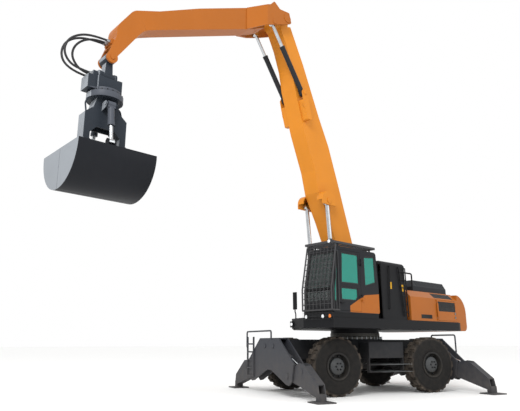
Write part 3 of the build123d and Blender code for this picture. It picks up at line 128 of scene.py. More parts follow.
def finish_nodes(material, *names, edge=0.004):
    """Gives one finish, and edges broken by a small bevel, to several pieces of the frame."""
    for name in names:
        piece = nodes[name]
        piece.data.materials.clear()
        piece.data.materials.append(material)
        if edge:
            weld = piece.modifiers.new("joined_faces", "WELD")
            weld.merge_threshold = 0.00005
            bevel = piece.modifiers.new("broken_edges", "BEVEL")
            bevel.width, bevel.segments = edge, 2
            bevel.limit_method, bevel.angle_limit = "ANGLE", radians(40)


CHASSIS_GREY = sprayed_enamel("chassis_enamel_dark_grey", "#24262a", "#6b645c", 0.5)
finish_nodes(CHASSIS_GREY, "chassis_frame", "side_steps", "axle_beams", "knuckle_left", "knuckle_right")


# Slewing ring and the bolts round it: a forged ring of bare turned steel under
# grease, held to the pedestal by a ring of zinc-plated hexagon bolts.
def machined_steel(name, colour, roughness, groove_mm=6):
    """Turned, ground or plated steel: a bright metal with fine tool marks and a thin film."""
    material, tree, shader, place = blank(name)
    FILM_MM = 160
    film = noise(tree, place, FILM_MM, 5)
    dull = [c * 0.6 for c in linear(colour)[:3]] + [1]
    tree.links.new(blend_colours(tree, film, dull, colour), shader.inputs["Base Color"])
    dullness = spread(tree, film, 0.0, 1.0, roughness + 0.12, roughness - 0.05)
    tree.links.new(dullness, shader.inputs["Roughness"])
    roughen(tree, shader, noise(tree, place, groove_mm, 3), 0.04)
    shader.inputs["Metallic"].default_value = 1.0
    return material


def fresh(add, name, **settings):
    """Starts a piece from one primitive, at its size and place, with nothing else selected."""
    bpy.ops.object.select_all(action="DESELECT")
    add(**settings)
    bpy.ops.object.transform_apply(location=True, rotation=True, scale=True)
    bpy.context.object.name = name
    return bpy.context.object


def choose(piece, test):
    """In edit mode, selects only the faces whose middle and normal pass the test."""
    bpy.context.view_layer.objects.active = piece
    bpy.ops.object.mode_set(mode="EDIT")
    bpy.ops.mesh.select_mode(type="FACE")
    bpy.ops.mesh.select_all(action="DESELECT")
    shape = bmesh.from_edit_mesh(piece.data)
    for face in shape.faces:
        face.select_set(test(face.calc_center_median(), face.normal))
    bmesh.update_edit_mesh(piece.data)


def hex_bolt(name, radius, height):
    """A hexagon head: a six-sided bar, drawn in at the top, on a wider washer."""
    bolt = fresh(bpy.ops.mesh.primitive_cylinder_add, name, vertices=6, radius=radius, depth=height)
    choose(bolt, lambda place, normal: normal.z > 0.9)
    bpy.ops.mesh.inset(thickness=radius * 0.2)
    bpy.ops.transform.translate(value=(0, 0, height * 0.15))
    choose(bolt, lambda place, normal: normal.z < -0.9)
    bpy.ops.mesh.extrude_region_move(TRANSFORM_OT_translate={"value": (0, 0, -height * 0.1)})
    bpy.ops.transform.resize(value=(1.35, 1.35, 1))
    bpy.ops.mesh.extrude_region_move(TRANSFORM_OT_translate={"value": (0, 0, -height * 0.2)})
    bpy.ops.object.mode_set(mode="OBJECT")
    return bolt


def scatter(piece, places):
    """Sets a copy of a piece at each place and turn, and joins them into one mesh."""
    bpy.ops.object.mode_set(mode="OBJECT")
    bpy.ops.object.select_all(action="DESELECT")
    copies = [piece.copy() for _ in places]
    for copy, (place, turn) in zip(copies, places):
        copy.data = piece.data.copy()
        bpy.context.collection.objects.link(copy)
        copy.location, copy.rotation_euler = place, turn
        copy.select_set(True)
    name = piece.name
    bpy.data.objects.remove(piece)
    bpy.context.view_layer.objects.active = copies[0]
    bpy.ops.object.join()
    copies[0].name = name
    return copies[0]


def ring_of(centre, radius, count):
    """Places round an upright circle's middle, in the plane across Z."""
    x, y, z = centre
    steps = [2 * pi * k / count for k in range(count)]
    return [((x + radius * cos(a), y + radius * sin(a), z), (0, 0, a)) for a in steps]


SLEW = radians(17.25)


def keep(piece, body, material, on_upper=True):
    """Ends a piece: upper's stance, place in the mesh, smooth rounds, finish, and the body it rides."""
    if piece.mode == "EDIT":
        bpy.ops.object.mode_set(mode="OBJECT")
    bpy.ops.object.select_all(action="DESELECT")
    piece.select_set(True)
    bpy.context.view_layer.objects.active = piece
    bpy.ops.object.transform_apply(location=True, rotation=True, scale=True)
    if on_upper:
        piece.rotation_euler.z = SLEW
        bpy.ops.object.transform_apply(location=False, rotation=True, scale=False)
    bpy.ops.object.shade_smooth_by_angle(angle=radians(35))
    piece.data.materials.clear()
    piece.data.materials.append(material)
    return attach(piece, body)


RING_STEEL = machined_steel("greased_ring_steel", "#6b6a66", 0.42)
ZINC = machined_steel("zinc_plated_bolts", "#a9adb0", 0.35, groove_mm=4)
finish_nodes(RING_STEEL, "slew_ring")
RING_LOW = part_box("slew_ring")[0]
BOLT_LIFT, BOLT_OUT, RING_BOLTS = 0.04, 0.022, 36
ring_bolts = hex_bolt("ring_bolts", 0.015, 0.05)
ring_bolts = scatter(ring_bolts, ring_of((0, 0, RING_LOW.z + BOLT_LIFT), BOLT_OUT - RING_LOW.x, RING_BOLTS))
keep(ring_bolts, "undercarriage", ZINC, on_upper=False)

# Step treads: galvanised mesh strips laid on the two step bars of each side,
# made from a flat grid whose edges are given thickness.
GALVANISED = machined_steel("galvanised_mesh", "#b4b7b8", 0.4, groove_mm=5)
STEP_LOW, STEP_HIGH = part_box("side_steps")
STEP_TOPS = (("low", 0.590), ("high", 0.775))
STEP_OUT, STEP_INSET, STEP_DEEP, STEP_WIRE = 1.18, 0.08, 0.108, 0.008
for side, way in (("left", 1), ("right", -1)):
    for level, top in STEP_TOPS:
        tread = fresh(bpy.ops.mesh.primitive_grid_add, f"step_tread_{side}_{level}", size=1,
                      x_subdivisions=26, y_subdivisions=3,
                      scale=(STEP_HIGH.x - STEP_LOW.x - STEP_INSET, STEP_DEEP, 1),
                      location=((STEP_LOW.x + STEP_HIGH.x) / 2, way * STEP_OUT, top + STEP_WIRE / 2))
        tread.modifiers.new("wires", "WIREFRAME").thickness = STEP_WIRE
        bpy.ops.object.modifier_apply(modifier="wires")
        keep(tread, "undercarriage", GALVANISED, on_upper=False)

# Outrigger boxes, legs and their cylinders: heavy plate in mid grey enamel,
# scraped and dusty at the feet; the rods are ground and hard chromed.
OUTRIGGER_GREY = sprayed_enamel("outrigger_enamel_mid_grey", "#363940", "#7a7268", 0.45)
CHROME = machined_steel("hard_chrome", "#d3d6d9", 0.12, groove_mm=3)
CORNERS = [f"{end}_{side}" for end in ("front", "rear") for side in ("left", "right")]
finish_nodes(OUTRIGGER_GREY, "outrigger_boxes", *[f"outrigger_leg_{c}" for c in CORNERS])
finish_nodes(OUTRIGGER_GREY, *[f"outrigger_barrel_{c}" for c in CORNERS], edge=0)
finish_nodes(CHROME, *[f"outrigger_rod_{c}" for c in CORNERS], edge=0)


# Wheels: pressed and welded rims in black enamel with grey planetary hubs, held by oiled
# nuts, and cross-ply tyres of black rubber, ringed on the wall and dusty on the tread.
def wheel_radius(tree, place):
    """Distance from the nearest wheel's axle, the same for the four wheels."""
    low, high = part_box("tyre_front_left")
    parts = put(tree, "ShaderNodeSeparateXYZ", {0: place})
    along = maths(tree, "ABSOLUTE", parts.outputs["X"])
    flat = put(tree, "ShaderNodeCombineXYZ", {0: along, 2: parts.outputs["Z"]}).outputs[0]
    centre = ((low.x + high.x) / 2, 0, (low.z + high.z) / 2)
    return put(tree, "ShaderNodeVectorMath", {0: flat, 1: centre}, operation="DISTANCE").outputs["Value"]


def tyre_rubber(name, colour, dust):
    """Moulded tyre rubber: matt black with fine rings on the wall and pale dust on the tread."""
    material, tree, shader, place = blank(name)
    MOTTLE_MM, RING_MM = 120, 22
    WALL_INSIDE, WALL_OUTSIDE, TREAD_EDGE = (0.43, 0.45), (0.62, 0.65), (0.66, 0.72)
    radius = wheel_radius(tree, place)
    mottle = spread(tree, noise(tree, place, MOTTLE_MM, 8), 0.35, 0.7, 0.25, 1.0)
    share = maths(tree, "MULTIPLY", mottle, spread(tree, radius, *TREAD_EDGE, 0.08, 0.75))
    tree.links.new(blend_colours(tree, share, colour, dust), shader.inputs["Base Color"])
    rings = maths(tree, "SINE", maths(tree, "MULTIPLY", radius, 2 * pi * 1000 / RING_MM))
    rise, fall = spread(tree, radius, *WALL_INSIDE, 0, 1), spread(tree, radius, *WALL_OUTSIDE, 1, 0)
    zone = maths(tree, "MULTIPLY", rise, fall)
    roughen(tree, shader, maths(tree, "MULTIPLY", rings, zone), 0.5)
    shader.inputs["Roughness"].default_value = 0.85
    shader.inputs["Specular IOR Level"].default_value = 0.25
    return material


HUB_R = 0.207


def hub_zone(tree, place):
    """The share of the rim that is hub: all inside the hub's radius."""
    return maths(tree, "LESS_THAN", wheel_radius(tree, place), HUB_R)


TREAD = tyre_rubber("tyre_rubber_dusty", "#141414", "#5c5248")
finish_nodes(TREAD, *[f"tyre_{c}" for c in CORNERS], edge=0.012)
RIM_BLACK = sprayed_enamel("rim_enamel_black", "#1f2022", "#5f584d", 0.4, second=("#44474a", hub_zone))
finish_nodes(RIM_BLACK, *[f"rim_{c}" for c in CORNERS], edge=0.003)
NUT_STEEL = machined_steel("oiled_wheel_nuts", "#3b3c3e", 0.5, groove_mm=4)
DISC_BACK = 0.154
NUT_RINGS = ((0.255, 0.02, 10), (0.085, 0.012, 6))
for corner in CORNERS:
    low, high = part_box(f"rim_{corner}")
    way = 1 if high.y > 0 else -1
    axle = ((low.x + high.x) / 2, 0, (low.z + high.z) / 2)
    end = high.y if way > 0 else low.y
    disc = end - way * DISC_BACK
    nuts = hex_bolt(f"wheel_nuts_{corner}", 0.022, 0.034)
    spots = [((axle[0] + r * cos(a), y + way * lift, axle[2] + r * sin(a)), (-way * pi / 2, 0, 0))
             for (r, lift, count), y in zip(NUT_RINGS, (disc, end))
             for a in [2 * pi * k / count for k in range(count)]]
    keep(scatter(nuts, spots), f"wheel_{corner}", NUT_STEEL, on_upper=False)


# Deck, tanks and rails of the upper: pressed steel in black semi-gloss enamel. The
# engine's hood is a pressing in dark grey.
BLACK_ENAMEL = sprayed_enamel("upper_enamel_black", "#131417", "#45413c", 0.45, dust_top=1.8)
finish_nodes(BLACK_ENAMEL, "upper_frame", "tanks")
finish_nodes(BLACK_ENAMEL, "rails_and_lamps", edge=0)
HOOD_GREY = sprayed_enamel("hood_enamel_dark_grey", "#202226", "#4c4a46", 0.4, dust_top=3.0)
finish_nodes(HOOD_GREY, "engine_hood")

# Tank plates: two blank plates in yellow enamel, fixed flat to the left tank's side,
# each a thin sheet with its middle pressed in.
YELLOW = sprayed_enamel("plate_enamel_yellow", "#c9971c", "#7a6f5a", 0.4, dust_top=3.0)
TANK_PLATE, TANK_SIDE = (0.11, 0.004, 0.19), 1.4522
for number, (x, z) in enumerate(((0.155, 2.89), (-0.415, 2.85)), 1):
    sign = fresh(bpy.ops.mesh.primitive_cube_add, f"tank_plate_{number}", size=1, scale=TANK_PLATE,
                 location=(x, TANK_SIDE, z))
    choose(sign, lambda place, normal: normal.y > 0.9)
    bpy.ops.mesh.inset(thickness=0.006)
    bpy.ops.transform.translate(value=(0, -0.0015, 0))
    keep(sign, "upper", YELLOW)

# Engine: one cast block behind the service doors, bare and oily, seen when they or
# the hood stand open.
CASTING = machined_steel("engine_casting_grey", "#6a6c6e", 0.6, groove_mm=12)
finish_nodes(CASTING, "engine_block")


# Engine housing, doors and counterweight: amber enamel, with black in the grilles and on
# the skirt along the deck's edge, and a plain dark plate fixed to the left side.
def upper_axes(tree, place):
    """A place on the upper in the upper's own axes, before its stance is turned."""
    turned = put(tree, "ShaderNodeMapping", {"Vector": place, "Rotation": (0, 0, -SLEW)},
                 vector_type="POINT")
    return put(tree, "ShaderNodeSeparateXYZ", {0: turned.outputs[0]}).outputs


def within(tree, value, low, high):
    """1 where a value lies between two limits, and 0 elsewhere."""
    above, below = maths(tree, "GREATER_THAN", value, low), maths(tree, "LESS_THAN", value, high)
    return maths(tree, "MULTIPLY", above, below)


SKIRT_TOP, SKIRT_END = 1.95, -3.53
GRILLE_OUT = 1.30
GRILLES = (((-3.29, -2.25), (2.27, 2.565)), ((-3.22, -2.09), (2.665, 2.815)))


def grilles_and_skirt(tree, place):
    """The black share: the door grilles, the grilles in the bay's shoulders, and the skirt."""
    x, y, z = upper_axes(tree, place)
    low, before = maths(tree, "LESS_THAN", z, SKIRT_TOP), maths(tree, "GREATER_THAN", x, SKIRT_END)
    share = maths(tree, "MULTIPLY", low, before)
    out = maths(tree, "GREATER_THAN", maths(tree, "ABSOLUTE", y), GRILLE_OUT)
    for across, up in GRILLES:
        grille = maths(tree, "MULTIPLY", within(tree, x, *across), within(tree, z, *up))
        share = maths(tree, "MAXIMUM", share, maths(tree, "MULTIPLY", grille, out))
    return share


AMBER_HEX = "#a65e20"
HOUSING_AMBER = sprayed_enamel("housing_enamel_amber", AMBER_HEX, "#8f7d66", 0.34, dust_top=2.2,
                               second=("#1a1b1d", grilles_and_skirt))
finish_nodes(HOUSING_AMBER, "counterweight", "engine_housing", "service_door_left", "service_door_right")
SIDE_PLATE = sprayed_enamel("side_plate_black", "#141516", "#4c4842", 0.35, dust_top=3.0)
plate = fresh(bpy.ops.mesh.primitive_cube_add, "side_plate", size=1, scale=(0.59, 0.006, 0.112),
              location=(-1.577, 1.483, 2.088))
choose(plate, lambda place, normal: normal.y > 0.9)
bpy.ops.mesh.inset(thickness=0.008)
bpy.ops.transform.translate(value=(0, -0.002, 0))
keep(plate, "upper", SIDE_PLATE)

# Service door latches: zinc-plated cups with a raised push button, two to a door, set
# on the door's skin near its free edge.
LATCH_X, LATCH_OUT, LATCH_Z = -3.26, 1.487, (2.10, 2.22)
for side, way in (("left", 1), ("right", -1)):
    latch = fresh(bpy.ops.mesh.primitive_cylinder_add, f"door_latches_{side}", vertices=24, radius=0.035,
                  depth=0.012, rotation=(pi / 2, 0, 0))
    choose(latch, lambda place, normal: way * normal.y > 0.9)
    bpy.ops.mesh.inset(thickness=0.008)
    bpy.ops.mesh.extrude_region_move(TRANSFORM_OT_translate={"value": (0, -way * 0.008, 0)})
    bpy.ops.mesh.inset(thickness=0.012)
    bpy.ops.mesh.extrude_region_move(TRANSFORM_OT_translate={"value": (0, way * 0.010, 0)})
    spots = [((LATCH_X, way * LATCH_OUT, z), (0, 0, 0)) for z in LATCH_Z]
    keep(scatter(latch, spots), f"service_door_{side}", ZINC)


# Boom and stick: welded plate in amber enamel, with the boom's amber painted brighter
# as painted light. Barrels are dark enamel, rods hard chrome, and pins have keeper caps.
AMBER = sprayed_enamel("stick_enamel_amber", AMBER_HEX, "#8f7d66", 0.36, dust_top=2.2)
# The boom's brighter amber is painted light: the same paint as the stick, coloured as if lit more strongly.
PAINTED_LIGHT_AMBER = sprayed_enamel("boom_enamel_amber_painted_light", "#d08226", "#8f7d66", 0.32, dust_top=2.2)
finish_nodes(AMBER, "stick")
finish_nodes(PAINTED_LIGHT_AMBER, "boom")
DARK_BARREL = sprayed_enamel("cylinder_enamel_dark_grey", "#26282c", "#5d594f", 0.4)
finish_nodes(DARK_BARREL, "boom_barrels", "stick_barrels", edge=0)
finish_nodes(CHROME, "boom_rods", "stick_rods", edge=0)


def pin_cap(name, radius):
    """A round keeper plate with a raised rim and a domed middle, facing +Z."""
    cap = fresh(bpy.ops.mesh.primitive_cylinder_add, name, vertices=32, radius=radius, depth=0.016)
    for share, rise in ((0.16, -0.005), (0.3, 0.006), (0.2, 0.006)):
        choose(cap, lambda place, normal: normal.z > 0.9 and place.length < radius * 0.5)
        bpy.ops.mesh.inset(thickness=radius * share)
        bpy.ops.transform.translate(value=(0, 0, rise))
    bpy.ops.object.mode_set(mode="OBJECT")
    return cap


PIN_ENDS = (("elbow_caps", "stick", 3.130, 10.520, 0.488, 0.11),
            ("stick_cylinder_caps", "boom", 2.430, 8.400, 0.480, 0.07),
            ("boom_cylinder_caps", "boom", 1.530, 5.300, 0.498, 0.085))
# Caps on the boom take its brighter amber, which is painted light.
for name, body, x, z, y, radius in PIN_ENDS:
    caps = scatter(pin_cap(name, radius), [((x, way * y, z), (-way * pi / 2, 0, 0)) for way in (1, -1)])
    keep(caps, body, AMBER if body == "stick" else PAINTED_LIGHT_AMBER)


# Cab: welded tube and sheet in charcoal enamel with one amber panel low at the rear of
# the left side, tinted green safety glass in rubber seals, and a bolted guard.
PANEL_PEAK, PANEL_SLOPES = (1.417, 2.54), (0.097, 0.474)
PANEL_FRONT, PANEL_FOOT, PANEL_OUT = 2.045, 2.085, 1.49


def rear_panel(tree, place):
    """The amber panel's share: under two slanting lines on the cab's left side."""
    x, y, z = upper_axes(tree, place)
    past = maths(tree, "SUBTRACT", x, PANEL_PEAK[0])
    lines = [maths(tree, "SUBTRACT", PANEL_PEAK[1], maths(tree, "MULTIPLY", past, slope))
             for slope in PANEL_SLOPES]
    under = maths(tree, "LESS_THAN", z, maths(tree, "MINIMUM", *lines))
    behind, over = maths(tree, "LESS_THAN", x, PANEL_FRONT), maths(tree, "GREATER_THAN", z, PANEL_FOOT)
    inside = maths(tree, "MULTIPLY", behind, over)
    outer = maths(tree, "GREATER_THAN", y, PANEL_OUT)
    return maths(tree, "MULTIPLY", maths(tree, "MULTIPLY", under, inside), outer)


CHARCOAL = sprayed_enamel("cab_enamel_charcoal", "#1d1f23", "#45423d", 0.4, dust_top=3.0,
                          second=(AMBER_HEX, rear_panel))
finish_nodes(CHARCOAL, "cab_shell", "cab_door")
GUARD_GREY = sprayed_enamel("guard_enamel_grey", "#3f3f41", "#57544e", 0.4, dust_top=3.0)
finish_nodes(GUARD_GREY, "cab_guard", edge=0)


def tinted_glass(name, colour, alpha):
    """Flat tinted safety glass: smooth, green through its thickness, a little dusty."""
    material, tree, shader, place = blank(name)
    FILM_MM = 400
    film = noise(tree, place, FILM_MM, 6)
    deep = [c * 0.8 for c in linear(colour)[:3]] + [1]
    tree.links.new(blend_colours(tree, film, colour, deep), shader.inputs["Base Color"])
    tree.links.new(spread(tree, film, 0, 1, 0.02, 0.12), shader.inputs["Roughness"])
    shader.inputs["Alpha"].default_value = alpha
    shader.inputs["IOR"].default_value = 1.5
    return material


GREEN_GLASS = tinted_glass("tinted_green_glass", "#0c8675", 0.88)
finish_nodes(GREEN_GLASS, "cab_glass", "cab_door_glass", edge=0)


def finish_faces(name, material, test):
    """A second finish on the faces of a frame piece whose middle and normal pass the test."""
    mesh = nodes[name].data
    mesh.materials.append(material)
    for face in mesh.polygons:
        if test(face.center, face.normal):
            face.material_index = len(mesh.materials) - 1


ALONG = Vector((cos(SLEW), sin(SLEW), 0))
DARK_GLASS = tinted_glass("tinted_dark_front_glass", "#4a5150", 0.8)
FRONT_PANE = 2.69
finish_faces("cab_glass", DARK_GLASS,
             lambda place, normal: normal.dot(ALONG) > 0.9 or place.dot(ALONG) > FRONT_PANE)


def rubber(name, colour, grain_mm=8):
    """Extruded or moulded rubber: matt black with a fine grain."""
    material, tree, shader, place = blank(name)
    BLOOM_MM = 150
    pale = [c * 1.8 for c in linear(colour)[:3]] + [1]
    bloom = noise(tree, place, BLOOM_MM, 6)
    tree.links.new(blend_colours(tree, bloom, colour, pale), shader.inputs["Base Color"])
    roughen(tree, shader, noise(tree, place, grain_mm, 2), 0.15)
    shader.inputs["Roughness"].default_value = 0.7
    return material


SEAL_RUBBER = rubber("window_seal_rubber", "#151617")
SEAL_WIDE, SEAL_THICK = 0.03, 0.007
low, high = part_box("cab_glass")
middle = (low + high) / 2
for source, body in (("cab_glass", "upper"), ("cab_door_glass", "cab_door")):
    seal = nodes[source].copy()
    seal.data = nodes[source].data.copy()
    seal.parent = None
    for key in list(seal.keys()):
        del seal[key]
    bpy.context.collection.objects.link(seal)
    seal.name = f"{source}_seals"
    bpy.ops.object.select_all(action="DESELECT")
    choose(seal, lambda place, normal: True)
    bpy.ops.mesh.remove_doubles(threshold=0.0001)
    bpy.ops.mesh.dissolve_limited(angle_limit=radians(1))
    choose(seal, lambda place, normal: normal.dot(place - middle) > 0.3)
    bpy.ops.mesh.select_all(action="INVERT")
    bpy.ops.mesh.delete(type="FACE")
    bpy.ops.mesh.select_all(action="SELECT")
    bpy.ops.mesh.inset(thickness=SEAL_WIDE, use_individual=True)
    bpy.ops.mesh.delete(type="FACE")
    bpy.ops.object.mode_set(mode="OBJECT")
    thick = seal.modifiers.new("rubber_section", "SOLIDIFY")
    thick.thickness, thick.offset = SEAL_THICK, 1
    bpy.ops.object.modifier_apply(modifier="rubber_section")
    keep(seal, body, SEAL_RUBBER, on_upper=False)

# Guard mesh: woven wire in the guard's grey behind its front bars, an upright panel and
# a leaning one, each a flat grid whose edges are given thickness.
GUARD_LINE = [(2.776, 2.135), (2.776, 2.655), (2.555, 3.745)]
GUARD_Y = (0.560, 1.515)
MESH_PITCH, MESH_WIRE = 0.045, 0.005
for number, (foot, top) in enumerate(zip(GUARD_LINE, GUARD_LINE[1:]), 1):
    run = Vector((top[0] - foot[0], 0, top[1] - foot[1]))
    wide = GUARD_Y[1] - GUARD_Y[0]
    mesh = fresh(bpy.ops.mesh.primitive_grid_add, f"guard_mesh_{number}", size=1,
                 scale=(run.length, wide, 1),
                 x_subdivisions=round(run.length / MESH_PITCH), y_subdivisions=round(wide / MESH_PITCH),
                 rotation=(0, atan2(-run.z, run.x), 0),
                 location=((foot[0] + top[0]) / 2, sum(GUARD_Y) / 2, (foot[1] + top[1]) / 2))
    mesh.modifiers.new("wires", "WIREFRAME").thickness = MESH_WIRE
    bpy.ops.object.modifier_apply(modifier="wires")
    keep(mesh, "upper", GUARD_GREY)


# Lamps and mirror: moulded lenses set in the lamp cups, clear on the deck, the cab's base
# and its roof and one orange on the base, and silvered glass in the mirror's housing.
def ribbed_lens(name, colour):
    """A moulded lamp lens: glossy, with upright ribs a few millimetres apart."""
    material, tree, shader, place = blank(name)
    RIB_MM = 9
    ribs = put(tree, "ShaderNodeTexWave", {"Vector": place, "Scale": 1000 / RIB_MM / 20},
               bands_direction="Y").outputs["Fac"]
    deep = [c * 0.85 for c in linear(colour)[:3]] + [1]
    tree.links.new(blend_colours(tree, ribs, colour, deep), shader.inputs["Base Color"])
    roughen(tree, shader, ribs, 0.2)
    shader.inputs["Roughness"].default_value = 0.12
    return material


CLEAR_LENS = ribbed_lens("lamp_lens_clear", "#e8eaec")
ORANGE_LENS = ribbed_lens("lamp_lens_orange", "#e0761c")
LENS_R = 0.0435
LENSES = (("base_lens_1", CLEAR_LENS, (2.768, 0.640, 1.970)),
          ("base_lens_2", CLEAR_LENS, (2.768, 1.200, 1.970)),
          ("base_lens_3", ORANGE_LENS, (2.768, 1.430, 1.970)),
          ("deck_lens", CLEAR_LENS, (2.508, -0.145, 1.810)),
          ("roof_lens", CLEAR_LENS, (2.718, 1.435, 3.830)))
for name, material, place in LENSES:
    lens = fresh(bpy.ops.mesh.primitive_cylinder_add, name, vertices=32, radius=LENS_R, depth=0.005,
                 rotation=(0, pi / 2, 0), location=place)
    for share in (0.3, 0.3):
        choose(lens, lambda middle, normal: normal.x > 0.95 and (middle - Vector(place)).length < 0.02)
        bpy.ops.mesh.inset(thickness=LENS_R * share)
        bpy.ops.transform.translate(value=(0.004, 0, 0))
    keep(lens, "upper", material)
SILVER = machined_steel("mirror_silver", "#dfe3e6", 0.07, groove_mm=40)
mirror = fresh(bpy.ops.mesh.primitive_cube_add, "mirror_glass", size=1, scale=(0.004, 0.104, 0.44),
               location=(2.423, -0.060, 2.430))
choose(mirror, lambda place, normal: normal.x < -0.9)
bpy.ops.mesh.inset(thickness=0.006)
bpy.ops.transform.translate(value=(-0.002, 0, 0))
keep(mirror, "upper", SILVER)

# Door handle: a bar in black enamel on two feet, drawn out of its back, bolted below
# the door's lower pane.
HANDLE = Vector((2.38, 1.538, 2.30))
handle = fresh(bpy.ops.mesh.primitive_cube_add, "door_handle", size=1, scale=(0.13, 0.016, 0.024),
               location=HANDLE)
choose(handle, lambda place, normal: True)
bpy.ops.mesh.subdivide(number_cuts=4)
choose(handle, lambda place, normal: normal.y < -0.9 and abs(place.x - HANDLE.x) > 0.045)
bpy.ops.mesh.extrude_region_move(TRANSFORM_OT_translate={"value": (0, -0.028, 0)})
keep(handle, "cab_door", BLACK_ENAMEL)


# Operator's seat: two stuffed pads in woven black cloth, a cushion and a raked back, on a
# plain base between two arm consoles with levers, facing the steering column.
def woven_cloth(name, colour, thread_mm):
    """Woven seat cloth: two crossed thread waves, soft and without shine."""
    material, tree, shader, place = blank(name)
    waves = [put(tree, "ShaderNodeTexWave", {"Vector": place, "Scale": 1000 / thread_mm / 20},
                 bands_direction=way).outputs["Fac"] for way in ("X", "Y")]
    weave = maths(tree, "MULTIPLY", *waves)
    deep = [c * 0.5 for c in linear(colour)[:3]] + [1]
    tree.links.new(blend_colours(tree, weave, deep, colour), shader.inputs["Base Color"])
    roughen(tree, shader, weave, 0.3)
    shader.inputs["Roughness"].default_value = 0.95
    return material


def stuffed(pad, cap):
    """Swells a closed pad as foam under cloth: remeshed, blown up, its movement capped."""
    bpy.ops.object.mode_set(mode="OBJECT")
    pad.data.remesh_voxel_size = 0.006
    bpy.ops.object.voxel_remesh()
    rest = [v.co.copy() for v in pad.data.vertices]
    cloth = pad.modifiers.new("blown_cloth", "CLOTH")
    cloth.settings.use_pressure = True
    cloth.settings.uniform_pressure_force = 4
    cloth.settings.effector_weights.gravity = 0
    for number in range(1, 21):
        bpy.context.scene.frame_set(number)
    bpy.ops.object.modifier_apply(modifier="blown_cloth")
    bpy.context.scene.frame_set(1)
    for vertex, start in zip(pad.data.vertices, rest):
        move = vertex.co - start
        vertex.co = start + move * min(1, cap / max(move.length, cap))
    soft = pad.modifiers.new("soft_surface", "SUBSURF")
    soft.levels = soft.render_levels = 1
    bpy.ops.object.modifier_apply(modifier="soft_surface")


SEAT_CLOTH = woven_cloth("seat_cloth_black", "#2c2d31", 3)
SEAT = Vector((1.350, 1.020, 2.112))
SWELL = 0.012
PADS = (("seat_cushion", (0.270, 0.250, 0.0675), 0, (0, 0, 0.3625)),
        ("seat_back", (0.055, 0.240, 0.345), radians(-9.1), (-0.275, 0, 0.795)))
for name, half, lean, middle in PADS:
    pad = fresh(bpy.ops.mesh.primitive_cube_add, name, size=2, rotation=(0, lean, 0),
                location=SEAT + Vector(middle), scale=[h - SWELL for h in half])
    choose(pad, lambda place, normal: True)
    bpy.ops.mesh.bevel(offset=0.03, segments=4, affect="EDGES")
    stuffed(pad, SWELL)
    keep(pad, "upper", SEAT_CLOTH)
CONSOLE_PLASTIC = rubber("console_plastic_grey", "#33353a", grain_mm=3)
ARM_OUT = 0.33
BOXES = (("seat_base", (0.150, 0.150, 0.146), (0, 0, 0.146)),
         ("console_left", (0.300, 0.070, 0.310), (0.05, ARM_OUT, 0.31)),
         ("console_right", (0.300, 0.070, 0.310), (0.05, -ARM_OUT, 0.31)),
         ("steering_column", (0.070, 0.090, 0.400), (0.970, 0, 0.40)))
for name, half, middle in BOXES:
    console = fresh(bpy.ops.mesh.primitive_cube_add, name, size=2, scale=half,
                    location=SEAT + Vector(middle))
    top = SEAT.z + middle[2] + half[2]
    choose(console, lambda place, normal: normal.z > 0.9)
    bpy.ops.mesh.inset(thickness=0.02)
    bpy.ops.transform.translate(value=(0, 0, -0.004))
    choose(console, lambda place, normal: abs(place.z - top) > 0.02)
    bpy.ops.mesh.bevel(offset=0.015, segments=3, affect="EDGES")
    keep(console, "upper", CONSOLE_PLASTIC)
lever = fresh(bpy.ops.mesh.primitive_cylinder_add, "levers", vertices=20, radius=0.012, depth=0.10)
choose(lever, lambda place, normal: normal.z > 0.9)
for rise, size in ((0.0, 1.9), (0.025, 1.1), (0.030, 0.7)):
    bpy.ops.mesh.extrude_region_move(TRANSFORM_OT_translate={"value": (0, 0, rise)})
    bpy.ops.transform.resize(value=(size, size, 1))
spots = [(SEAT + Vector((0.28, y, 0.665)), (0, 0, 0)) for y in (ARM_OUT, -ARM_OUT)]
keep(scatter(lever, spots), "upper", CONSOLE_PLASTIC)
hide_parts("operator_station")


# Grab: link, head and frame in blue-grey enamel with their front faces painted pale as painted light,
# near-black shells with end plates painted pale as painted light, a rubbed rotor and cylinders, chromed
# rods, and bolts round the rotor.
GRAB_GREY = sprayed_enamel("grab_enamel_blue_grey", "#2a3038", "#6a6862", 0.42, dust_top=3.0)
SHELL_BLACK = sprayed_enamel("shell_enamel_black", "#191b20", "#3d3c3a", 0.4, dust_top=5.0)
# The pale grey is painted light: faces turned to the strong light from the front are painted pale.
PAINTED_LIGHT_GREY = sprayed_enamel("pale_grey_painted_light", "#8d9298", "#6a6862", 0.45, dust_top=3.0)
finish_nodes(GRAB_GREY, "grab_link", "grab_head", "grab_frame")
finish_nodes(SHELL_BLACK, "grab_shell_left", "grab_shell_right")
RUBBED_GREY = sprayed_enamel("rubbed_enamel_mid_grey", "#4b4f57", "#6a6862", 0.4, dust_top=3.0)
finish_nodes(RUBBED_GREY, "grab_barrel_left", "grab_barrel_right", edge=0)
finish_nodes(CHROME, "grab_rod_left", "grab_rod_right", edge=0)
GRAB_MIDDLE = 8.310
SHELL_HALF = 0.850
ROTOR_Z = (6.36, 6.58)
BOLTS_Z, BOLTS_R, ROTOR_BOLTS = 6.516, 0.367, 20
# The rotor's band takes the rubbed grey; faces turned to the front take the pale grey, which is painted
# light.
for name in ("grab_frame", "grab_head", "grab_link"):
    finish_faces(name, RUBBED_GREY,
                 lambda place, normal: ROTOR_Z[0] < place.z < ROTOR_Z[1] and abs(normal.z) < 0.5)
    finish_faces(name, PAINTED_LIGHT_GREY, lambda place, normal: normal.dot(ALONG) > 0.95)
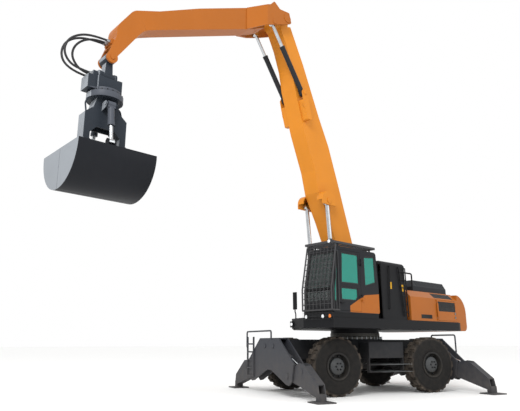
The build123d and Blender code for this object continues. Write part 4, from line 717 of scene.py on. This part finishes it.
# The shells' end plates take the pale grey, which is painted light.
for side in ("left", "right"):
    finish_faces(f"grab_shell_{side}", PAINTED_LIGHT_GREY, lambda place, normal: abs(normal.dot(ALONG)) > 0.99
                 and abs(abs(place.dot(ALONG) - GRAB_MIDDLE) - SHELL_HALF) < 0.002)
rotor_bolts = hex_bolt("rotor_bolts", 0.013, 0.03)
rotor_bolts = scatter(rotor_bolts, ring_of((GRAB_MIDDLE, 0, BOLTS_Z), BOLTS_R, ROTOR_BOLTS))
keep(rotor_bolts, "grab_frame", NUT_STEEL)


# Grab hoses: three rubber hoses hung in loops from the stick's tip to the head, each
# crimped at both ends into a plated hexagon fitting.
HOSE_BLACK = rubber("hose_rubber_black", "#141416", grain_mm=4)
HOSE_R = 0.024
FITTING_LONG, FERRULE_LONG = 0.03, 0.045
HOSE_ROUTES = [
    [(8.3454, 0.100, 7.790), (8.640, 0.100, 7.790), (9.000, 0.130, 7.690), (9.280, 0.160, 7.450),
     (9.360, 0.165, 7.150), (9.210, 0.140, 6.930), (8.930, 0.100, 6.890), (8.6804, 0.100, 6.890)],
    [(8.3454, 0.0, 7.780), (8.590, 0.0, 7.780), (8.880, 0.015, 7.660), (9.080, 0.020, 7.440),
     (9.130, 0.015, 7.190), (9.010, 0.005, 7.000), (8.830, 0.0, 6.910), (8.6804, 0.0, 6.910)],
    [(8.3454, -0.100, 7.800), (8.620, -0.100, 7.800), (8.960, -0.130, 7.745), (9.210, -0.150, 7.560),
     (9.300, -0.150, 7.280), (9.220, -0.140, 7.030), (8.930, -0.100, 6.890), (8.6804, -0.100, 6.890)],
]


def on_upper(point):
    """A point of the upper's own axes, turned to its stance."""
    x, y, z = point
    return Vector((x * cos(SLEW) - y * sin(SLEW), x * sin(SLEW) + y * cos(SLEW), z))


for number, route in enumerate(HOSE_ROUTES, 1):
    line = bpy.data.curves.new(f"grab_hose_{number}", "CURVE")
    line.dimensions, line.bevel_depth, line.bevel_resolution, line.resolution_u = "3D", HOSE_R, 6, 24
    line.use_fill_caps = True
    spline = line.splines.new("NURBS")
    spline.points.add(len(route) - 1)
    for point, place in zip(spline.points, route):
        point.co = (*on_upper(place), 1)
    spline.order_u = 3
    spline.use_endpoint_u = True
    hose = bpy.data.objects.new(line.name, line)
    bpy.context.collection.objects.link(hose)
    line.materials.append(HOSE_BLACK)
    for end, body, place in (("stick", "stick", route[0]), ("head", "grab_head", route[-1])):
        fitting = fresh(bpy.ops.mesh.primitive_cylinder_add, f"hose_fitting_{number}_{end}", vertices=6,
                        radius=0.038, depth=FITTING_LONG, rotation=(0, pi / 2, 0),
                        location=(place[0] + 0.016, place[1], place[2]))
        choose(fitting, lambda middle, normal: normal.x > 0.9)
        bpy.ops.mesh.inset(thickness=0.004)
        bpy.ops.mesh.extrude_region_move(TRANSFORM_OT_translate={"value": (FERRULE_LONG, 0, 0)})
        bpy.ops.transform.resize(value=(1, 0.92, 0.92))
        keep(fitting, body, ZINC)
    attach(hose, "stick")
    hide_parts(f"tip_hose_{number}")

# Studio: a plain pale floor that reaches past the view, one broad key light, one fill
# and an even white sky.
floor = fresh(bpy.ops.mesh.primitive_plane_add, "floor", size=400)
PALE = bpy.data.materials.new("pale_floor")
PALE.use_nodes = True
paint = PALE.node_tree.nodes["Principled BSDF"].inputs
paint["Base Color"].default_value, paint["Roughness"].default_value = linear("#fbfbfa"), 0.9
floor.data.materials.append(PALE)
sky = bpy.data.worlds.new("white_sky")
bpy.context.scene.world = sky
sky.use_nodes = True
glow = sky.node_tree.nodes["Background"].inputs
glow["Color"].default_value, glow["Strength"].default_value = (1, 1, 1, 1), 1.0
LAMPS = (("key", (16, 16, 18), (1, 1, 4), 3500, 9), ("fill", (-10, 18, 9), (0, 0, 3), 500, 10))
for name, place, aim, power, size in LAMPS:
    lamp = bpy.data.lights.new(name, "AREA")
    lamp.energy, lamp.size = power, size
    holder = bpy.data.objects.new(name, lamp)
    bpy.context.scene.collection.objects.link(holder)
    holder.location = place
    holder.rotation_euler = (Vector(aim) - Vector(place)).to_track_quat("-Z", "Y").to_euler()
bpy.context.scene.view_settings.view_transform = "Standard"

# Camera: the place, direction and lens that were fitted to the photograph, at about eye
# height off the machine's front left corner.
EYE = Vector((9.343, 13.498, 1.328))
LOOK = Vector((-0.4074, -0.8785, 0.2500))
view = bpy.data.cameras.new("photo_view")
view.lens, view.sensor_width = 36.86, 36
camera = bpy.data.objects.new("photo_view", view)
bpy.context.scene.collection.objects.link(camera)
camera.location = EYE
camera.rotation_euler = LOOK.to_track_quat("-Z", "Y").to_euler()
bpy.context.scene.camera = camera
